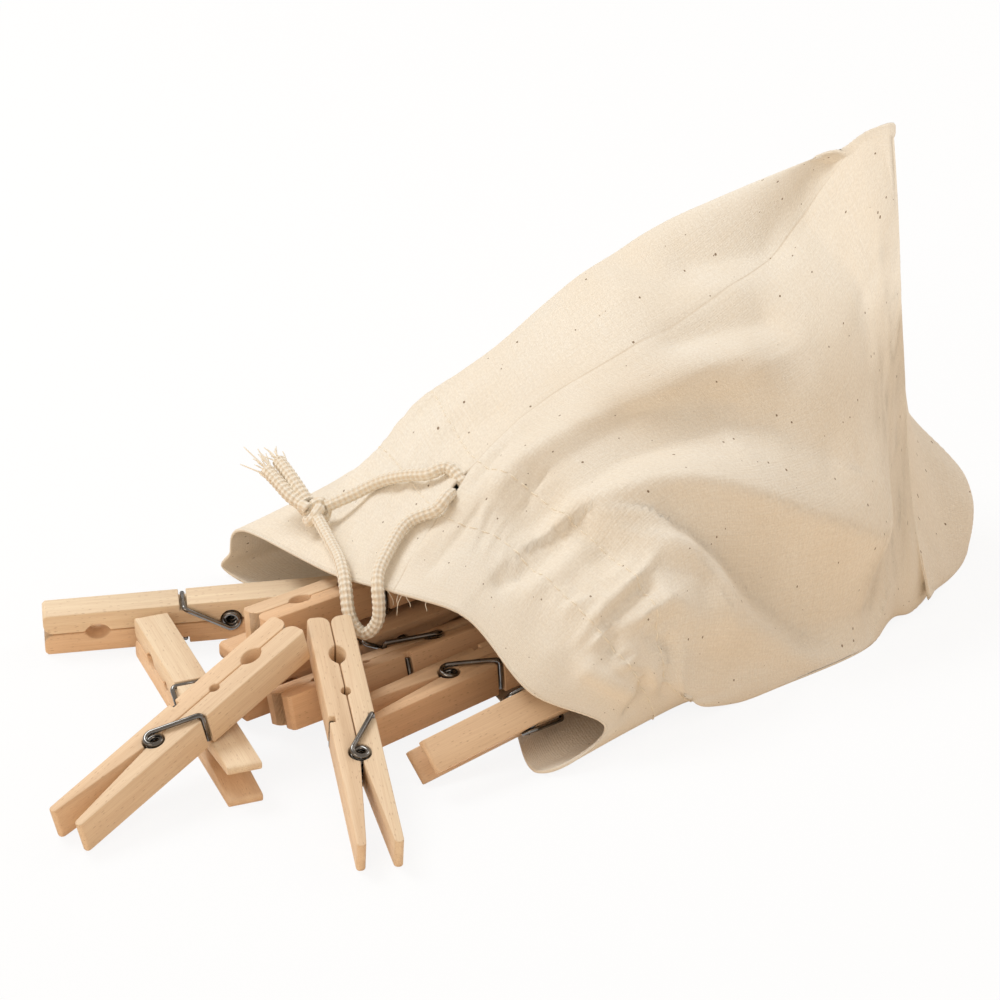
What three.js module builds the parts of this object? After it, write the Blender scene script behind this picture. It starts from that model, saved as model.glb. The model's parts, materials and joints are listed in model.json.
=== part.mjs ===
import * as THREE from 'three';

// Peg bag: a small unbleached-cotton drawstring bag lying on its side, with wooden spring
// pegs spilling out of its mouth. Millimetres, +Z up, the table at z = 0.

// Fits
const CLEARANCE = 0.3;

// Wooden peg
const PEG_LENGTH = 72;
const PEG_WIDTH = 8;
const HALF_THICKNESS = 5;
const HINGE_FROM_JAW = 44;
const TAIL_TIP = 2;
const JAW_ROUND = 2.4;
const JAW_EDGE = 0.7;
const LINE_NOTCH_FROM_JAW = 12.6;
const LINE_NOTCH_WIDTH = 6;
const LINE_NOTCH_DEPTH = 1.8;
const SMALL_NOTCH_FROM_JAW = 24.5;
const SMALL_NOTCH_WIDTH = 2.6;
const SMALL_NOTCH_DEPTH = 1;
const GROOVE_FROM_JAW = 33;

// Spring of the peg
const WIRE = 1.2;
const COIL_RADIUS = 1.7;
const COIL_FULL_TURNS = 5;
const WIRE_BEND = 1.2;
const WIRE_END_INSET = 1.2;

// Cotton bag
const SHEET = 0.8;
const FOLD_HALF = 1.6;
const BAG_LENGTH = 182;
const CASING_AT = 146;
const CASING_WIDTH = 15;
const FACING = 0.6;
const HEM_GAP = 0.5;
const CASING_ROOM = 1.6;
const EXIT_GAP = 10;

// Drawstring
const CORD = 3.4;
const KNOT = 8.4;

// Worked out from the sizes above
const HALF_GAP = CLEARANCE / 2;
const OUTER_FACE = HALF_GAP + HALF_THICKNESS;
const TAIL_LENGTH = PEG_LENGTH - HINGE_FROM_JAW;
const SEAT_RADIUS = COIL_RADIUS + WIRE / 2 + CLEARANCE;
const GROOVE_WIDTH = WIRE + 2 * CLEARANCE;
const GROOVE_DEPTH = WIRE + CLEARANCE;
const GROOVE_X = GROOVE_FROM_JAW - HINGE_FROM_JAW;
const WIRE_CROSSING_Z = OUTER_FACE - WIRE / 2;
const ARM_Y = PEG_WIDTH / 2 + CLEARANCE + WIRE / 2;
const ARM_REACH = ARM_Y + WIRE / 2;

const degrees = (angle) => (angle * Math.PI) / 180;

const BEECH = new THREE.MeshStandardMaterial({ color: 0xd9b98c, roughness: 0.6 });
const STEEL = new THREE.MeshStandardMaterial({ color: 0x6d6a66, roughness: 0.3, metalness: 1 });
const COTTON = new THREE.MeshStandardMaterial({ color: 0xe9dcc0, roughness: 0.9 });

const part = new THREE.Group();
part.name = 'peg_bag';

function addNode(name, geometry, material) {
  const mesh = new THREE.Mesh(geometry, material);
  mesh.name = name;
  part.add(mesh);
  return mesh;
}

// A round hollow cut into the straight edge at height base, between two ends of a chord.
function cutRoundNotch(shape, centre, width, depth, base) {
  const half = width / 2;
  const radius = (half * half + depth * depth) / (2 * depth);
  const drop = radius - depth;
  const angle = Math.asin(drop / radius);
  shape.lineTo(centre - half, base);
  shape.absarc(centre, base - drop, radius, Math.PI - angle, angle, true);
}

// Side view of one peg half: jaw to the left, the spring's axis at the origin.
function pegHalfShape() {
  const jaw = -HINGE_FROM_JAW;
  const tailInner = OUTER_FACE - TAIL_TIP;
  const tailAngle = Math.atan2(tailInner, TAIL_LENGTH);
  const seatStart = Math.PI - Math.asin(HALF_GAP / SEAT_RADIUS);
  const grooveLeft = GROOVE_X - GROOVE_WIDTH / 2;
  const grooveRight = GROOVE_X + GROOVE_WIDTH / 2;
  const grooveFloor = OUTER_FACE - GROOVE_DEPTH;
  const tipRound = TAIL_TIP / 2;

  const shape = new THREE.Shape();
  shape.moveTo(jaw + JAW_ROUND, HALF_GAP);
  cutRoundNotch(shape, LINE_NOTCH_FROM_JAW + jaw, LINE_NOTCH_WIDTH, LINE_NOTCH_DEPTH, HALF_GAP);
  cutRoundNotch(shape, SMALL_NOTCH_FROM_JAW + jaw, SMALL_NOTCH_WIDTH, SMALL_NOTCH_DEPTH, HALF_GAP);
  shape.lineTo(SEAT_RADIUS * Math.cos(seatStart), HALF_GAP);
  shape.absarc(0, 0, SEAT_RADIUS, seatStart, tailAngle, true);
  shape.lineTo(TAIL_LENGTH - tipRound, tailInner - tipRound * Math.tan(tailAngle));
  shape.quadraticCurveTo(TAIL_LENGTH, tailInner, TAIL_LENGTH, tailInner + tipRound);
  shape.quadraticCurveTo(TAIL_LENGTH, OUTER_FACE, TAIL_LENGTH - tipRound, OUTER_FACE);
  shape.lineTo(grooveRight, OUTER_FACE);
  shape.lineTo(grooveRight, grooveFloor);
  shape.lineTo(grooveLeft, grooveFloor);
  shape.lineTo(grooveLeft, OUTER_FACE);
  shape.lineTo(jaw + JAW_EDGE, OUTER_FACE);
  shape.lineTo(jaw, OUTER_FACE - JAW_EDGE);
  shape.lineTo(jaw, HALF_GAP + JAW_ROUND);
  shape.absarc(jaw + JAW_ROUND, HALF_GAP + JAW_ROUND, JAW_ROUND, Math.PI, 1.5 * Math.PI, false);
  return shape;
}

function pegHalf() {
  const geometry = new THREE.ExtrudeGeometry(pegHalfShape(), {
    depth: PEG_WIDTH,
    bevelEnabled: false,
    curveSegments: 6,
  });
  geometry.rotateX(Math.PI / 2);
  geometry.translate(0, PEG_WIDTH / 2, 0);
  return geometry;
}

// The spring's centre line: in from the upper half's groove, down the near side, round the
// coil, and out along the far side to the lower half's groove. It is the same turned over.
function springPath() {
  const reach = Math.hypot(GROOVE_X, WIRE_CROSSING_Z);
  const bearing = Math.atan2(WIRE_CROSSING_Z, GROOVE_X);
  const start = bearing + Math.acos(COIL_RADIUS / reach);
  const sweep = 2 * Math.PI * (COIL_FULL_TURNS + 1) - 2 * start;
  const steps = Math.round((8 * (sweep + 2 * Math.PI)) / (2 * Math.PI));
  const finish = start + sweep + 2 * Math.PI;

  const arm = [];
  const corner = new THREE.Vector3(GROOVE_X, -ARM_Y, WIRE_CROSSING_Z);
  const tangentPoint = new THREE.Vector3(COIL_RADIUS * Math.cos(start), -ARM_Y, COIL_RADIUS * Math.sin(start));
  const armWay = tangentPoint.clone().sub(corner).normalize();
  arm.push(new THREE.Vector3(GROOVE_X, PEG_WIDTH / 2 - WIRE_END_INSET, WIRE_CROSSING_Z));
  const bendIn = corner.clone().add(new THREE.Vector3(0, WIRE_BEND, 0));
  const bendOut = corner.clone().addScaledVector(armWay, WIRE_BEND);
  const bend = new THREE.QuadraticBezierCurve3(bendIn, corner, bendOut);
  arm.push(...bend.getPoints(3));

  const coil = [];
  for (let i = 0; i <= steps; i += 1) {
    const share = i / steps;
    const angle = start + (finish - start) * share;
    const along = ARM_Y * (2 * share - 1);
    coil.push(new THREE.Vector3(COIL_RADIUS * Math.cos(angle), along, COIL_RADIUS * Math.sin(angle)));
  }
  const otherArm = arm.map((p) => new THREE.Vector3(p.x, -p.y, -p.z)).reverse();
  return [...arm, ...coil, ...otherArm];
}

// A tube of few sides along a row of points, with flat ends. The section is carried along
// the row without twisting.
function tubeAlong(points, diameter, sides) {
  const positions = [];
  const indices = [];
  const tangents = points.map((point, i) => {
    const before = points[Math.max(i - 1, 0)];
    const after = points[Math.min(i + 1, points.length - 1)];
    return after.clone().sub(before).normalize();
  });
  const normal = new THREE.Vector3(0, 0, 1);
  if (Math.abs(tangents[0].z) > 0.9) normal.set(1, 0, 0);
  points.forEach((point, i) => {
    normal.addScaledVector(tangents[i], -normal.dot(tangents[i])).normalize();
    const side = tangents[i].clone().cross(normal);
    for (let k = 0; k < sides; k += 1) {
      const angle = (2 * Math.PI * k) / sides;
      const rim = point.clone();
      rim.addScaledVector(normal, (diameter / 2) * Math.cos(angle));
      rim.addScaledVector(side, (diameter / 2) * Math.sin(angle));
      positions.push(rim.x, rim.y, rim.z);
    }
  });
  for (let i = 0; i < points.length - 1; i += 1) {
    for (let k = 0; k < sides; k += 1) {
      const a = i * sides + k;
      const b = i * sides + ((k + 1) % sides);
      indices.push(a, b, b + sides, a, b + sides, a + sides);
    }
  }
  const last = (points.length - 1) * sides;
  for (let k = 1; k < sides - 1; k += 1) {
    indices.push(0, k + 1, k);
    indices.push(last, last + k, last + k + 1);
  }
  const geometry = new THREE.BufferGeometry();
  geometry.setAttribute('position', new THREE.Float32BufferAttribute(positions, 3));
  geometry.setIndex(indices);
  geometry.computeVertexNormals();
  return geometry;
}

// Least distance between stretches of the wire that are not next to each other.
function leastGap(points, diameter) {
  let least = Infinity;
  for (let i = 0; i < points.length; i += 1) {
    let run = 0;
    for (let j = i + 1; j < points.length; j += 1) {
      run += points[j].distanceTo(points[j - 1]);
      if (run > 4 * diameter) least = Math.min(least, points[i].distanceTo(points[j]));
    }
  }
  return least - diameter;
}

const WIRE_PATH = springPath();
console.log(`spring wire: least gap to itself ${leastGap(WIRE_PATH, WIRE).toFixed(2)} mm`);

// Half extents of a rolled peg, spring arms included, across its heading and upward.
function pegReach(roll) {
  const angle = degrees(roll);
  return OUTER_FACE * Math.abs(Math.sin(angle)) + ARM_REACH * Math.abs(Math.cos(angle));
}

// One peg: two halves and the spring, turned by roll about its length, by tilt (tail up) and
// by heading, then set down so that its lowest point is at the given level.
function addPeg(number, place) {
  const turn = new THREE.Matrix4().makeRotationZ(degrees(place.heading));
  turn.multiply(new THREE.Matrix4().makeRotationY(-degrees(place.tilt)));
  turn.multiply(new THREE.Matrix4().makeRotationX(degrees(place.roll)));
  const upper = pegHalf();
  const lower = pegHalf().rotateX(Math.PI);
  const spring = tubeAlong(WIRE_PATH, WIRE, 5);
  const pieces = [upper, lower, spring];
  let lowest = Infinity;
  for (const piece of pieces) {
    piece.applyMatrix4(turn);
    piece.computeBoundingBox();
    lowest = Math.min(lowest, piece.boundingBox.min.z);
  }
  for (const piece of pieces) piece.translate(place.x, place.y, place.level - lowest);
  const label = `peg_${String(number).padStart(2, '0')}`;
  addNode(`${label}_lower_half`, lower, BEECH);
  addNode(`${label}_upper_half`, upper, BEECH);
  addNode(`${label}_spring`, spring, STEEL);
}

// Levels that pegs lie on.
const TABLE = 0;
const LIP = SHEET + HEM_GAP + FACING + CLEARANCE;
const FLAT_PEG = 2 * OUTER_FACE;
const ON_FLAT_PEGS = LIP + FLAT_PEG + CLEARANCE;

// Pegs in the mouth lie side by side along one heading. A place in the row is a distance
// along the heading and one across it, measured from the middle of the table.
const ROW_HEADING = 37;
const ROW_ALONG = new THREE.Vector2(Math.cos(degrees(ROW_HEADING)), Math.sin(degrees(ROW_HEADING)));
const ROW_ACROSS = new THREE.Vector2(-ROW_ALONG.y, ROW_ALONG.x);
function inRow(along, across) {
  const spot = ROW_ALONG.clone().multiplyScalar(along).addScaledVector(ROW_ACROSS, across);
  return { x: spot.x, y: spot.y };
}

const LEAN_ROLL = 74;
const EDGE_SPACE = 3;
const ACROSS_FLAT = -20.5;
const ACROSS_BACK = ACROSS_FLAT + 2 * pegReach(0) + CLEARANCE;
const ACROSS_LEAN = ACROSS_FLAT - pegReach(0) - pegReach(LEAN_ROLL) - CLEARANCE;
const ACROSS_EDGE = ACROSS_LEAN - pegReach(LEAN_ROLL) - pegReach(90) - EDGE_SPACE;

const PEG_PLACES = [
  { x: -63.6, y: -30.6, heading: 7, tilt: 1.8, roll: 0, level: TABLE },
  { x: -66, y: -79.7, heading: -69, tilt: 0, roll: 0, level: TABLE },
  { x: -75.4, y: -102.4, heading: 227.5, tilt: -15.5, roll: 90, level: TABLE },
  { ...inRow(-41, ACROSS_BACK), heading: ROW_HEADING, tilt: 0, roll: 0, level: LIP },
  { ...inRow(-37, (ACROSS_BACK + ACROSS_FLAT) / 2), heading: ROW_HEADING, tilt: 0, roll: 84, level: ON_FLAT_PEGS },
  { ...inRow(-47, ACROSS_FLAT), heading: ROW_HEADING, tilt: 0, roll: 0, level: LIP },
  { ...inRow(-43, ACROSS_LEAN), heading: ROW_HEADING, tilt: 0, roll: LEAN_ROLL, level: LIP },
  { x: -30.8, y: -105.9, heading: -79, tilt: -13.6, roll: 90, level: TABLE },
  { ...inRow(-50, ACROSS_EDGE), heading: ROW_HEADING + 180, tilt: -3.6, roll: 90, level: LIP },
  { x: 4.8, y: -81.9, heading: ROW_HEADING + 180, tilt: -6, roll: -45, level: TABLE },
];
PEG_PLACES.forEach((place, i) => addPeg(i + 1, place));


// The bag as a loft: closed rings of ten places each, from the folded bottom to the mouth.
// Each ring starts at the side seam on top and runs down the front, under the bag and up
// the back. A ring's station is its distance from the bottom fold along the cloth.
const BOTTOM_FOLD = [
  [93.5, 40, 101],
  [92.5, -1, 74],
  [94.5, -6, 42],
  [97, -13, 11],
  [102, -17, 3],
  [105, -16, 2.5],
];
const FOLD_WAY = [0.94, 0.34, 0];
const RINGS = [
  {
    station: 10,
    places: [
      [87, 41, 96.5], [89.5, 5, 77.5], [95, -5, 46.5], [97.5, -15, 9.5], [102, -15, 1.5],
      [107, -9, 1.5], [109.5, -4, 2], [107.5, 0.5, 11.5], [96, 11, 38.5], [86.5, 23, 88],
    ],
  },
  {
    station: 22,
    places: [
      [77, 37, 86], [84, 10, 80], [94, -6, 50], [97, -20, 7], [101, -14, 0],
      [108, 0, 0], [116, 14, 1], [116, 20, 13], [94, 34, 36], [80, 43, 88.5],
    ],
  },
  {
    station: 55,
    places: [
      [57, 11, 73], [73, -13, 61], [84, -25, 35], [86, -37, 1], [90, -24, 0],
      [92, 0, 0], [90, 28, 0], [80, 42, 20], [66, 49, 50], [47, 37, 80],
    ],
  },
  {
    station: 90,
    places: [
      [32, -10, 66], [50, -22, 55], [63, -40, 31], [63, -56, 1], [66, -42, 0],
      [62, -12, 0], [54, 24, 0], [46, 34, 18], [34, 38, 46], [20, 28, 67],
    ],
  },
  {
    station: 120,
    places: [
      [9, -17, 54], [23, -32, 50], [46, -52, 37], [46, -69, 6], [50, -54, 0],
      [42, -24, 0], [22, 20, 0], [11, 28, 16], [3, 27, 38], [0, 12, 56],
    ],
  },
  {
    station: CASING_AT,
    places: [
      [-10, -37, 42], [5, -48, 40], [26, -70.5, 30.5], [35.5, -75.5, 13], [40, -62, 0],
      [22, -30, 0], [-9, 16, 0], [-17, 20, 14], [-21, 13, 30], [-22, 0, 41],
    ],
  },
  {
    station: BAG_LENGTH,
    places: [
      [-24, -64, 31], [-7, -73, 29], [7, -86, 17.5], [24, -85, 7.5], [8, -92, 0],
      [-5, -52, 0], [-62, -5, 0], [-65, -3, 8], [-61, -9, 17], [-39, -48, 27],
    ],
  },
];
const RING_PLACES = RINGS[0].places.length;
const CLOTH_COLUMNS = 48;

// The bottom ring: the fold line, its front side and its back side a little apart.
function bottomRing() {
  const way = new THREE.Vector3(...FOLD_WAY);
  const line = BOTTOM_FOLD.map((place) => new THREE.Vector3(...place));
  const front = line.slice(1, -1).map((p) => p.clone().addScaledVector(way, -FOLD_HALF));
  const back = line.slice(1, -1).map((p) => p.clone().addScaledVector(way, FOLD_HALF));
  return [line[0], ...front, line[line.length - 1], ...back.reverse()];
}

const LOFT = [
  { station: 0, places: bottomRing() },
  ...RINGS.map((ring) => ({
    station: ring.station,
    places: ring.places.map((place) => new THREE.Vector3(...place)),
  })),
];

function smooth(before, from, to, after, share) {
  const curve = new THREE.CatmullRomCurve3([before, from, to, after], false, 'catmullrom', 0.5);
  return curve.getPoint((1 + share) / 3);
}

// Place on the outer side of the cloth at a station and a share of the way round. The
// underside lies flat on the table.
function clothPlace(station, share) {
  const turn = (((share % 1) + 1) % 1) * RING_PLACES;
  const slot = Math.floor(turn);
  const around = LOFT.map(({ places }) => {
    const pick = (i) => places[(slot + i + RING_PLACES) % RING_PLACES];
    return smooth(pick(-1), pick(0), pick(1), pick(2), turn - slot);
  });
  let span = 0;
  while (span < LOFT.length - 2 && station > LOFT[span + 1].station) span += 1;
  const from = LOFT[span].station;
  const along = (station - from) / (LOFT[span + 1].station - from);
  const before = around[Math.max(span - 1, 0)];
  const after = around[Math.min(span + 2, LOFT.length - 1)];
  const place = smooth(before, around[span], around[span + 1], after, along);
  place.z = Math.max(place.z, 0);
  return place;
}

// The same with a distance out from the cloth; less than nothing is inside the bag.
function offCloth(station, share, out) {
  const step = 0.5;
  const near = Math.min(Math.max(station, step), BAG_LENGTH - step);
  const along = clothPlace(near + step, share).sub(clothPlace(near - step, share));
  const around = clothPlace(near, share + 0.004).sub(clothPlace(near, share - 0.004));
  const normal = along.cross(around).normalize();
  return clothPlace(station, share).addScaledVector(normal, out);
}

// A closed shell over rings of places: an outer skin, and an inner skin that may start a few
// rings later. A gap of whole cells may be left open in it.
function ringShell(outerRings, innerRings, innerFirst, gap) {
  const columns = outerRings[0].length;
  const inner = outerRings.length * columns;
  const positions = [];
  for (const ring of [...outerRings, ...innerRings]) {
    for (const place of ring) positions.push(place.x, place.y, place.z);
  }
  const indices = [];
  const quad = (a, b, c, d) => indices.push(a, b, c, a, c, d);
  const open = (row, column) => gap !== null && row === gap.row && gap.columns.includes(column);
  for (let row = 0; row < outerRings.length - 1; row += 1) {
    for (let column = 0; column < columns; column += 1) {
      const next = (column + 1) % columns;
      const last = (column + columns - 1) % columns;
      const a = row * columns + column;
      const b = row * columns + next;
      const c = b + columns;
      const d = a + columns;
      if (open(row, column)) {
        quad(inner + a, inner + b, b, a);
        quad(d, c, inner + c, inner + d);
        if (!open(row, last)) quad(inner + d, inner + a, a, d);
        if (!open(row, next)) quad(inner + b, inner + c, c, b);
      } else {
        quad(a, d, c, b);
        if (row >= innerFirst) quad(inner + b, inner + c, inner + d, inner + a);
      }
    }
  }
  return { positions, indices, quad, columns, inner, mouth: (outerRings.length - 1) * columns };
}

function joinRims(shell, ring, facesMouth) {
  for (let column = 0; column < shell.columns; column += 1) {
    const a = ring + column;
    const b = ring + ((column + 1) % shell.columns);
    if (facesMouth) shell.quad(a, shell.inner + a, shell.inner + b, b);
    else shell.quad(a, b, shell.inner + b, shell.inner + a);
  }
}

// Closes a flat ring from its first place to the one half-way round, front to back.
function closeFold(shell, ring, facesIn) {
  const half = shell.columns / 2;
  const face = (a, b, c) => (facesIn ? shell.indices.push(a, c, b) : shell.indices.push(a, b, c));
  for (let column = 0; column < half; column += 1) {
    const front = ring + column;
    const back = ring + ((shell.columns - column) % shell.columns);
    const nextBack = ring + shell.columns - column - 1;
    face(front, front + 1, back === front ? nextBack : back);
    if (back !== front && nextBack !== front + 1) face(front + 1, nextBack, back);
  }
}

function shellGeometry(shell) {
  const geometry = new THREE.BufferGeometry();
  geometry.setAttribute('position', new THREE.Float32BufferAttribute(shell.positions, 3));
  geometry.setIndex(shell.indices);
  const loose = geometry.toNonIndexed();
  loose.computeVertexNormals();
  return loose;
}

function clothRing(station, depth) {
  const ring = [];
  for (let column = 0; column < CLOTH_COLUMNS; column += 1) {
    ring.push(offCloth(station, column / CLOTH_COLUMNS, -depth));
  }
  return ring;
}

// Even steps from one station to another, both ends included.
function stationsBetween(from, to, steps) {
  return Array.from({ length: steps + 1 }, (_, i) => from + ((to - from) * i) / steps);
}

// The bag's cloth: shut at the bottom fold, open at the mouth and where the cord comes out.
function bagCloth() {
  const exitFrom = CASING_AT - EXIT_GAP / 2;
  const exitTo = CASING_AT + EXIT_GAP / 2;
  const stations = [0, ...stationsBetween(2 * SHEET, exitFrom, 17), ...stationsBetween(exitTo, BAG_LENGTH, 4)];
  const outerRings = stations.map((station) => clothRing(station, 0));
  const innerRings = stations.map((station) => clothRing(station, SHEET));
  const exit = { row: stations.indexOf(exitFrom), columns: [CLOTH_COLUMNS - 1, 0] };
  const shell = ringShell(outerRings, innerRings, 1, exit);
  closeFold(shell, 0, false);
  closeFold(shell, shell.inner + shell.columns, true);
  joinRims(shell, shell.mouth, true);
  return shellGeometry(shell);
}
addNode('bag_cloth', bagCloth(), COTTON);

// The hem turned in at the mouth and sewn down on both sides of the drawstring's casing, where
// it stands off the cloth by the cord's thickness.
function hemFacing() {
  const seam = 3;
  const casingFrom = CASING_AT - CASING_WIDTH / 2;
  const casingTo = CASING_AT + CASING_WIDTH / 2;
  const flat = SHEET + HEM_GAP;
  const raised = SHEET + CORD + CASING_ROOM;
  const profile = [
    [casingFrom - seam, flat],
    [casingFrom, flat],
    [casingFrom + CORD, raised],
    [casingTo - CORD, raised],
    [casingTo, flat],
    [casingTo + (BAG_LENGTH - casingTo) / 2, flat],
    [BAG_LENGTH - CLEARANCE, flat],
  ];
  const outerRings = profile.map(([station, depth]) => clothRing(station, depth));
  const innerRings = profile.map(([station, depth]) => clothRing(station, depth + FACING));
  const shell = ringShell(outerRings, innerRings, 0, null);
  joinRims(shell, 0, false);
  joinRims(shell, shell.mouth, true);
  return shellGeometry(shell);
}
addNode('hem_facing', hemFacing(), COTTON);

// The drawstring: one cord round the casing, both ends out through the gap in the side seam.
// One end runs straight to the knot, the other hangs down over the mouth's edge as a loop.
// A place on it is a station, a share of the way round and a distance out from the cloth.
const CORD_SIDES = 8;
const CASING_END = 2 / CLOTH_COLUMNS;
const IN_CASING = -(SHEET + CASING_ROOM / 2 + CORD / 2);
const ON_CLOTH = CORD / 2 + 3 * CLEARANCE;

function cordTube(points, steps) {
  const section = new THREE.Shape();
  section.absarc(0, 0, CORD / 2, 0, 2 * Math.PI, false);
  return new THREE.ExtrudeGeometry(section, {
    steps,
    curveSegments: CORD_SIDES / 2,
    bevelEnabled: false,
    extrudePath: new THREE.CatmullRomCurve3(points, false, 'centripetal'),
  });
}
const onBag = (places) => places.map(([station, share, out]) => offCloth(station, share, out));

const casingShares = stationsBetween(CASING_END, 1 - CASING_END, CLOTH_COLUMNS - 4);
const casingPath = onBag(casingShares.map((share) => [CASING_AT, share, IN_CASING]));
addNode('drawstring_in_casing', tubeAlong(casingPath, CORD, CORD_SIDES), COTTON);

// The knot lies on the cloth above the mouth. What is tied in it comes close from its own way.
const KNOT_PLACE = offCloth(172, -0.132, KNOT / 2 + CLEARANCE);
addNode('drawstring_knot', new THREE.IcosahedronGeometry(KNOT / 2, 2).translate(...KNOT_PLACE), COTTON);
function atKnot(from) {
  const way = from.clone().sub(KNOT_PLACE).normalize();
  return KNOT_PLACE.clone().addScaledVector(way, KNOT / 2 + CLEARANCE);
}

const CASING_GAP = 0.0035;
const strandPath = onBag([
  [CASING_AT, CASING_END - CASING_GAP, IN_CASING],
  [CASING_AT, 0.032, IN_CASING],
  [CASING_AT - 1.2, 0.021, IN_CASING],
  [CASING_AT - 2.4, 0, -0.2],
  [CASING_AT - 1.6, -0.018, ON_CLOTH],
  [149, -0.026, ON_CLOTH],
  [152, -0.038, ON_CLOTH],
  [156, -0.056, ON_CLOTH],
  [160, -0.077, ON_CLOTH],
  [164, -0.1, ON_CLOTH],
]);
strandPath.push(atKnot(strandPath[strandPath.length - 1]));
addNode('drawstring_strand', cordTube(strandPath, 18), COTTON);

// Where the loop hangs: offsets from the mouth's edge.
const LOOP_EDGE = clothPlace(BAG_LENGTH, -0.028);
const LOOP_HANG = [
  [-0.4, -2.8, 1.2],
  [-0.8, -4, -3.5],
  [-1.6, -4, -7.5],
  [-3, -3, -9.6],
  [-4.6, -1.2, -7],
  [-6, 1.2, -2],
];
const loopPath = [
  ...onBag([
    [CASING_AT, CASING_GAP - CASING_END, IN_CASING],
    [CASING_AT, -0.032, IN_CASING],
    [CASING_AT + 1.2, -0.02, IN_CASING],
    [CASING_AT + 2.2, -0.004, -0.6],
    [CASING_AT + 3.4, 0.005, ON_CLOTH],
    [153, -0.006, ON_CLOTH],
    [158, -0.022, ON_CLOTH],
    [163, -0.029, ON_CLOTH],
    [172, -0.026, ON_CLOTH],
    [179, -0.024, ON_CLOTH],
  ]),
  ...LOOP_HANG.map((offset) => LOOP_EDGE.clone().add(new THREE.Vector3(...offset))),
  ...onBag([
    [181, -0.076, ON_CLOTH + CLEARANCE],
    [177, -0.095, ON_CLOTH],
  ]),
];
loopPath.push(atKnot(loopPath[loopPath.length - 1]));
addNode('drawstring_loop', cordTube(loopPath, 30), COTTON);

// The two ends stand out of the knot, away from the mouth.
const TAILS = { drawstring_end_a: [[-2.2, 10, 2.8], [-6.4, 18, 3.8]], drawstring_end_b: [[-8, 5, 1.4], [-15, 10, 1.6]] };
for (const [name, offsets] of Object.entries(TAILS)) {
  const places = offsets.map((offset) => KNOT_PLACE.clone().add(new THREE.Vector3(...offset)));
  addNode(name, cordTube([atKnot(places[0]), ...places], 4), COTTON);
}

// The origin is under the middle of the bag and its pegs, on the table.
const box = new THREE.Box3();
for (const mesh of part.children) {
  if (!mesh.name.startsWith('drawstring')) box.expandByObject(mesh);
}
const middle = box.getCenter(new THREE.Vector3());
for (const mesh of part.children) mesh.geometry.translate(-middle.x, -middle.y, -box.min.z);

export default part;
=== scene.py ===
import json
import math

import bmesh
import bpy
import numpy as np
from mathutils import Matrix, Vector


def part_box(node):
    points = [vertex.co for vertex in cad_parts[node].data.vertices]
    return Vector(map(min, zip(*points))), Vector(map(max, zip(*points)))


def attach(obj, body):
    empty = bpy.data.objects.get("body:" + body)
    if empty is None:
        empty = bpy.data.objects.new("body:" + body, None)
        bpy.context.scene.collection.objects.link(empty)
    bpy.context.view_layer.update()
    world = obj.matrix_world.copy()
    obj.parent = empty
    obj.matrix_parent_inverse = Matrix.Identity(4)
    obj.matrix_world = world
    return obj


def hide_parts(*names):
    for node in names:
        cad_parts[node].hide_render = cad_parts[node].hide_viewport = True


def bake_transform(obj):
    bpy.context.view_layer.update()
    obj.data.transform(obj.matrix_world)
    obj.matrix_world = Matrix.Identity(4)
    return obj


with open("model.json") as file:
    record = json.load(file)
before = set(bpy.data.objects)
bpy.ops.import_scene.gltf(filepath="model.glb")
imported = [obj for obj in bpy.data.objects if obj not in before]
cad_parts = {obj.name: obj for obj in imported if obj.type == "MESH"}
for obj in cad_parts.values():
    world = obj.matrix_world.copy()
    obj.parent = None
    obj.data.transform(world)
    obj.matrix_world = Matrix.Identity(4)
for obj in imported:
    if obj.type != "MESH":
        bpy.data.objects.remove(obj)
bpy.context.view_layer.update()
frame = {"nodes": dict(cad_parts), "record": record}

# The bag. One length of unbleached cotton is folded across at the bottom, sewn up both sides and
# turned right side out. It lies on its side, and its spare cloth buckles into soft folds, sharp
# puckers along the casing and a crease over the flap at the bottom. Sizes here are millimetres.
MM = 0.001
BAG_LENGTH = 182
BAG_ROUND = 292
CLOTH_THICKNESS = 0.5
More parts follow.
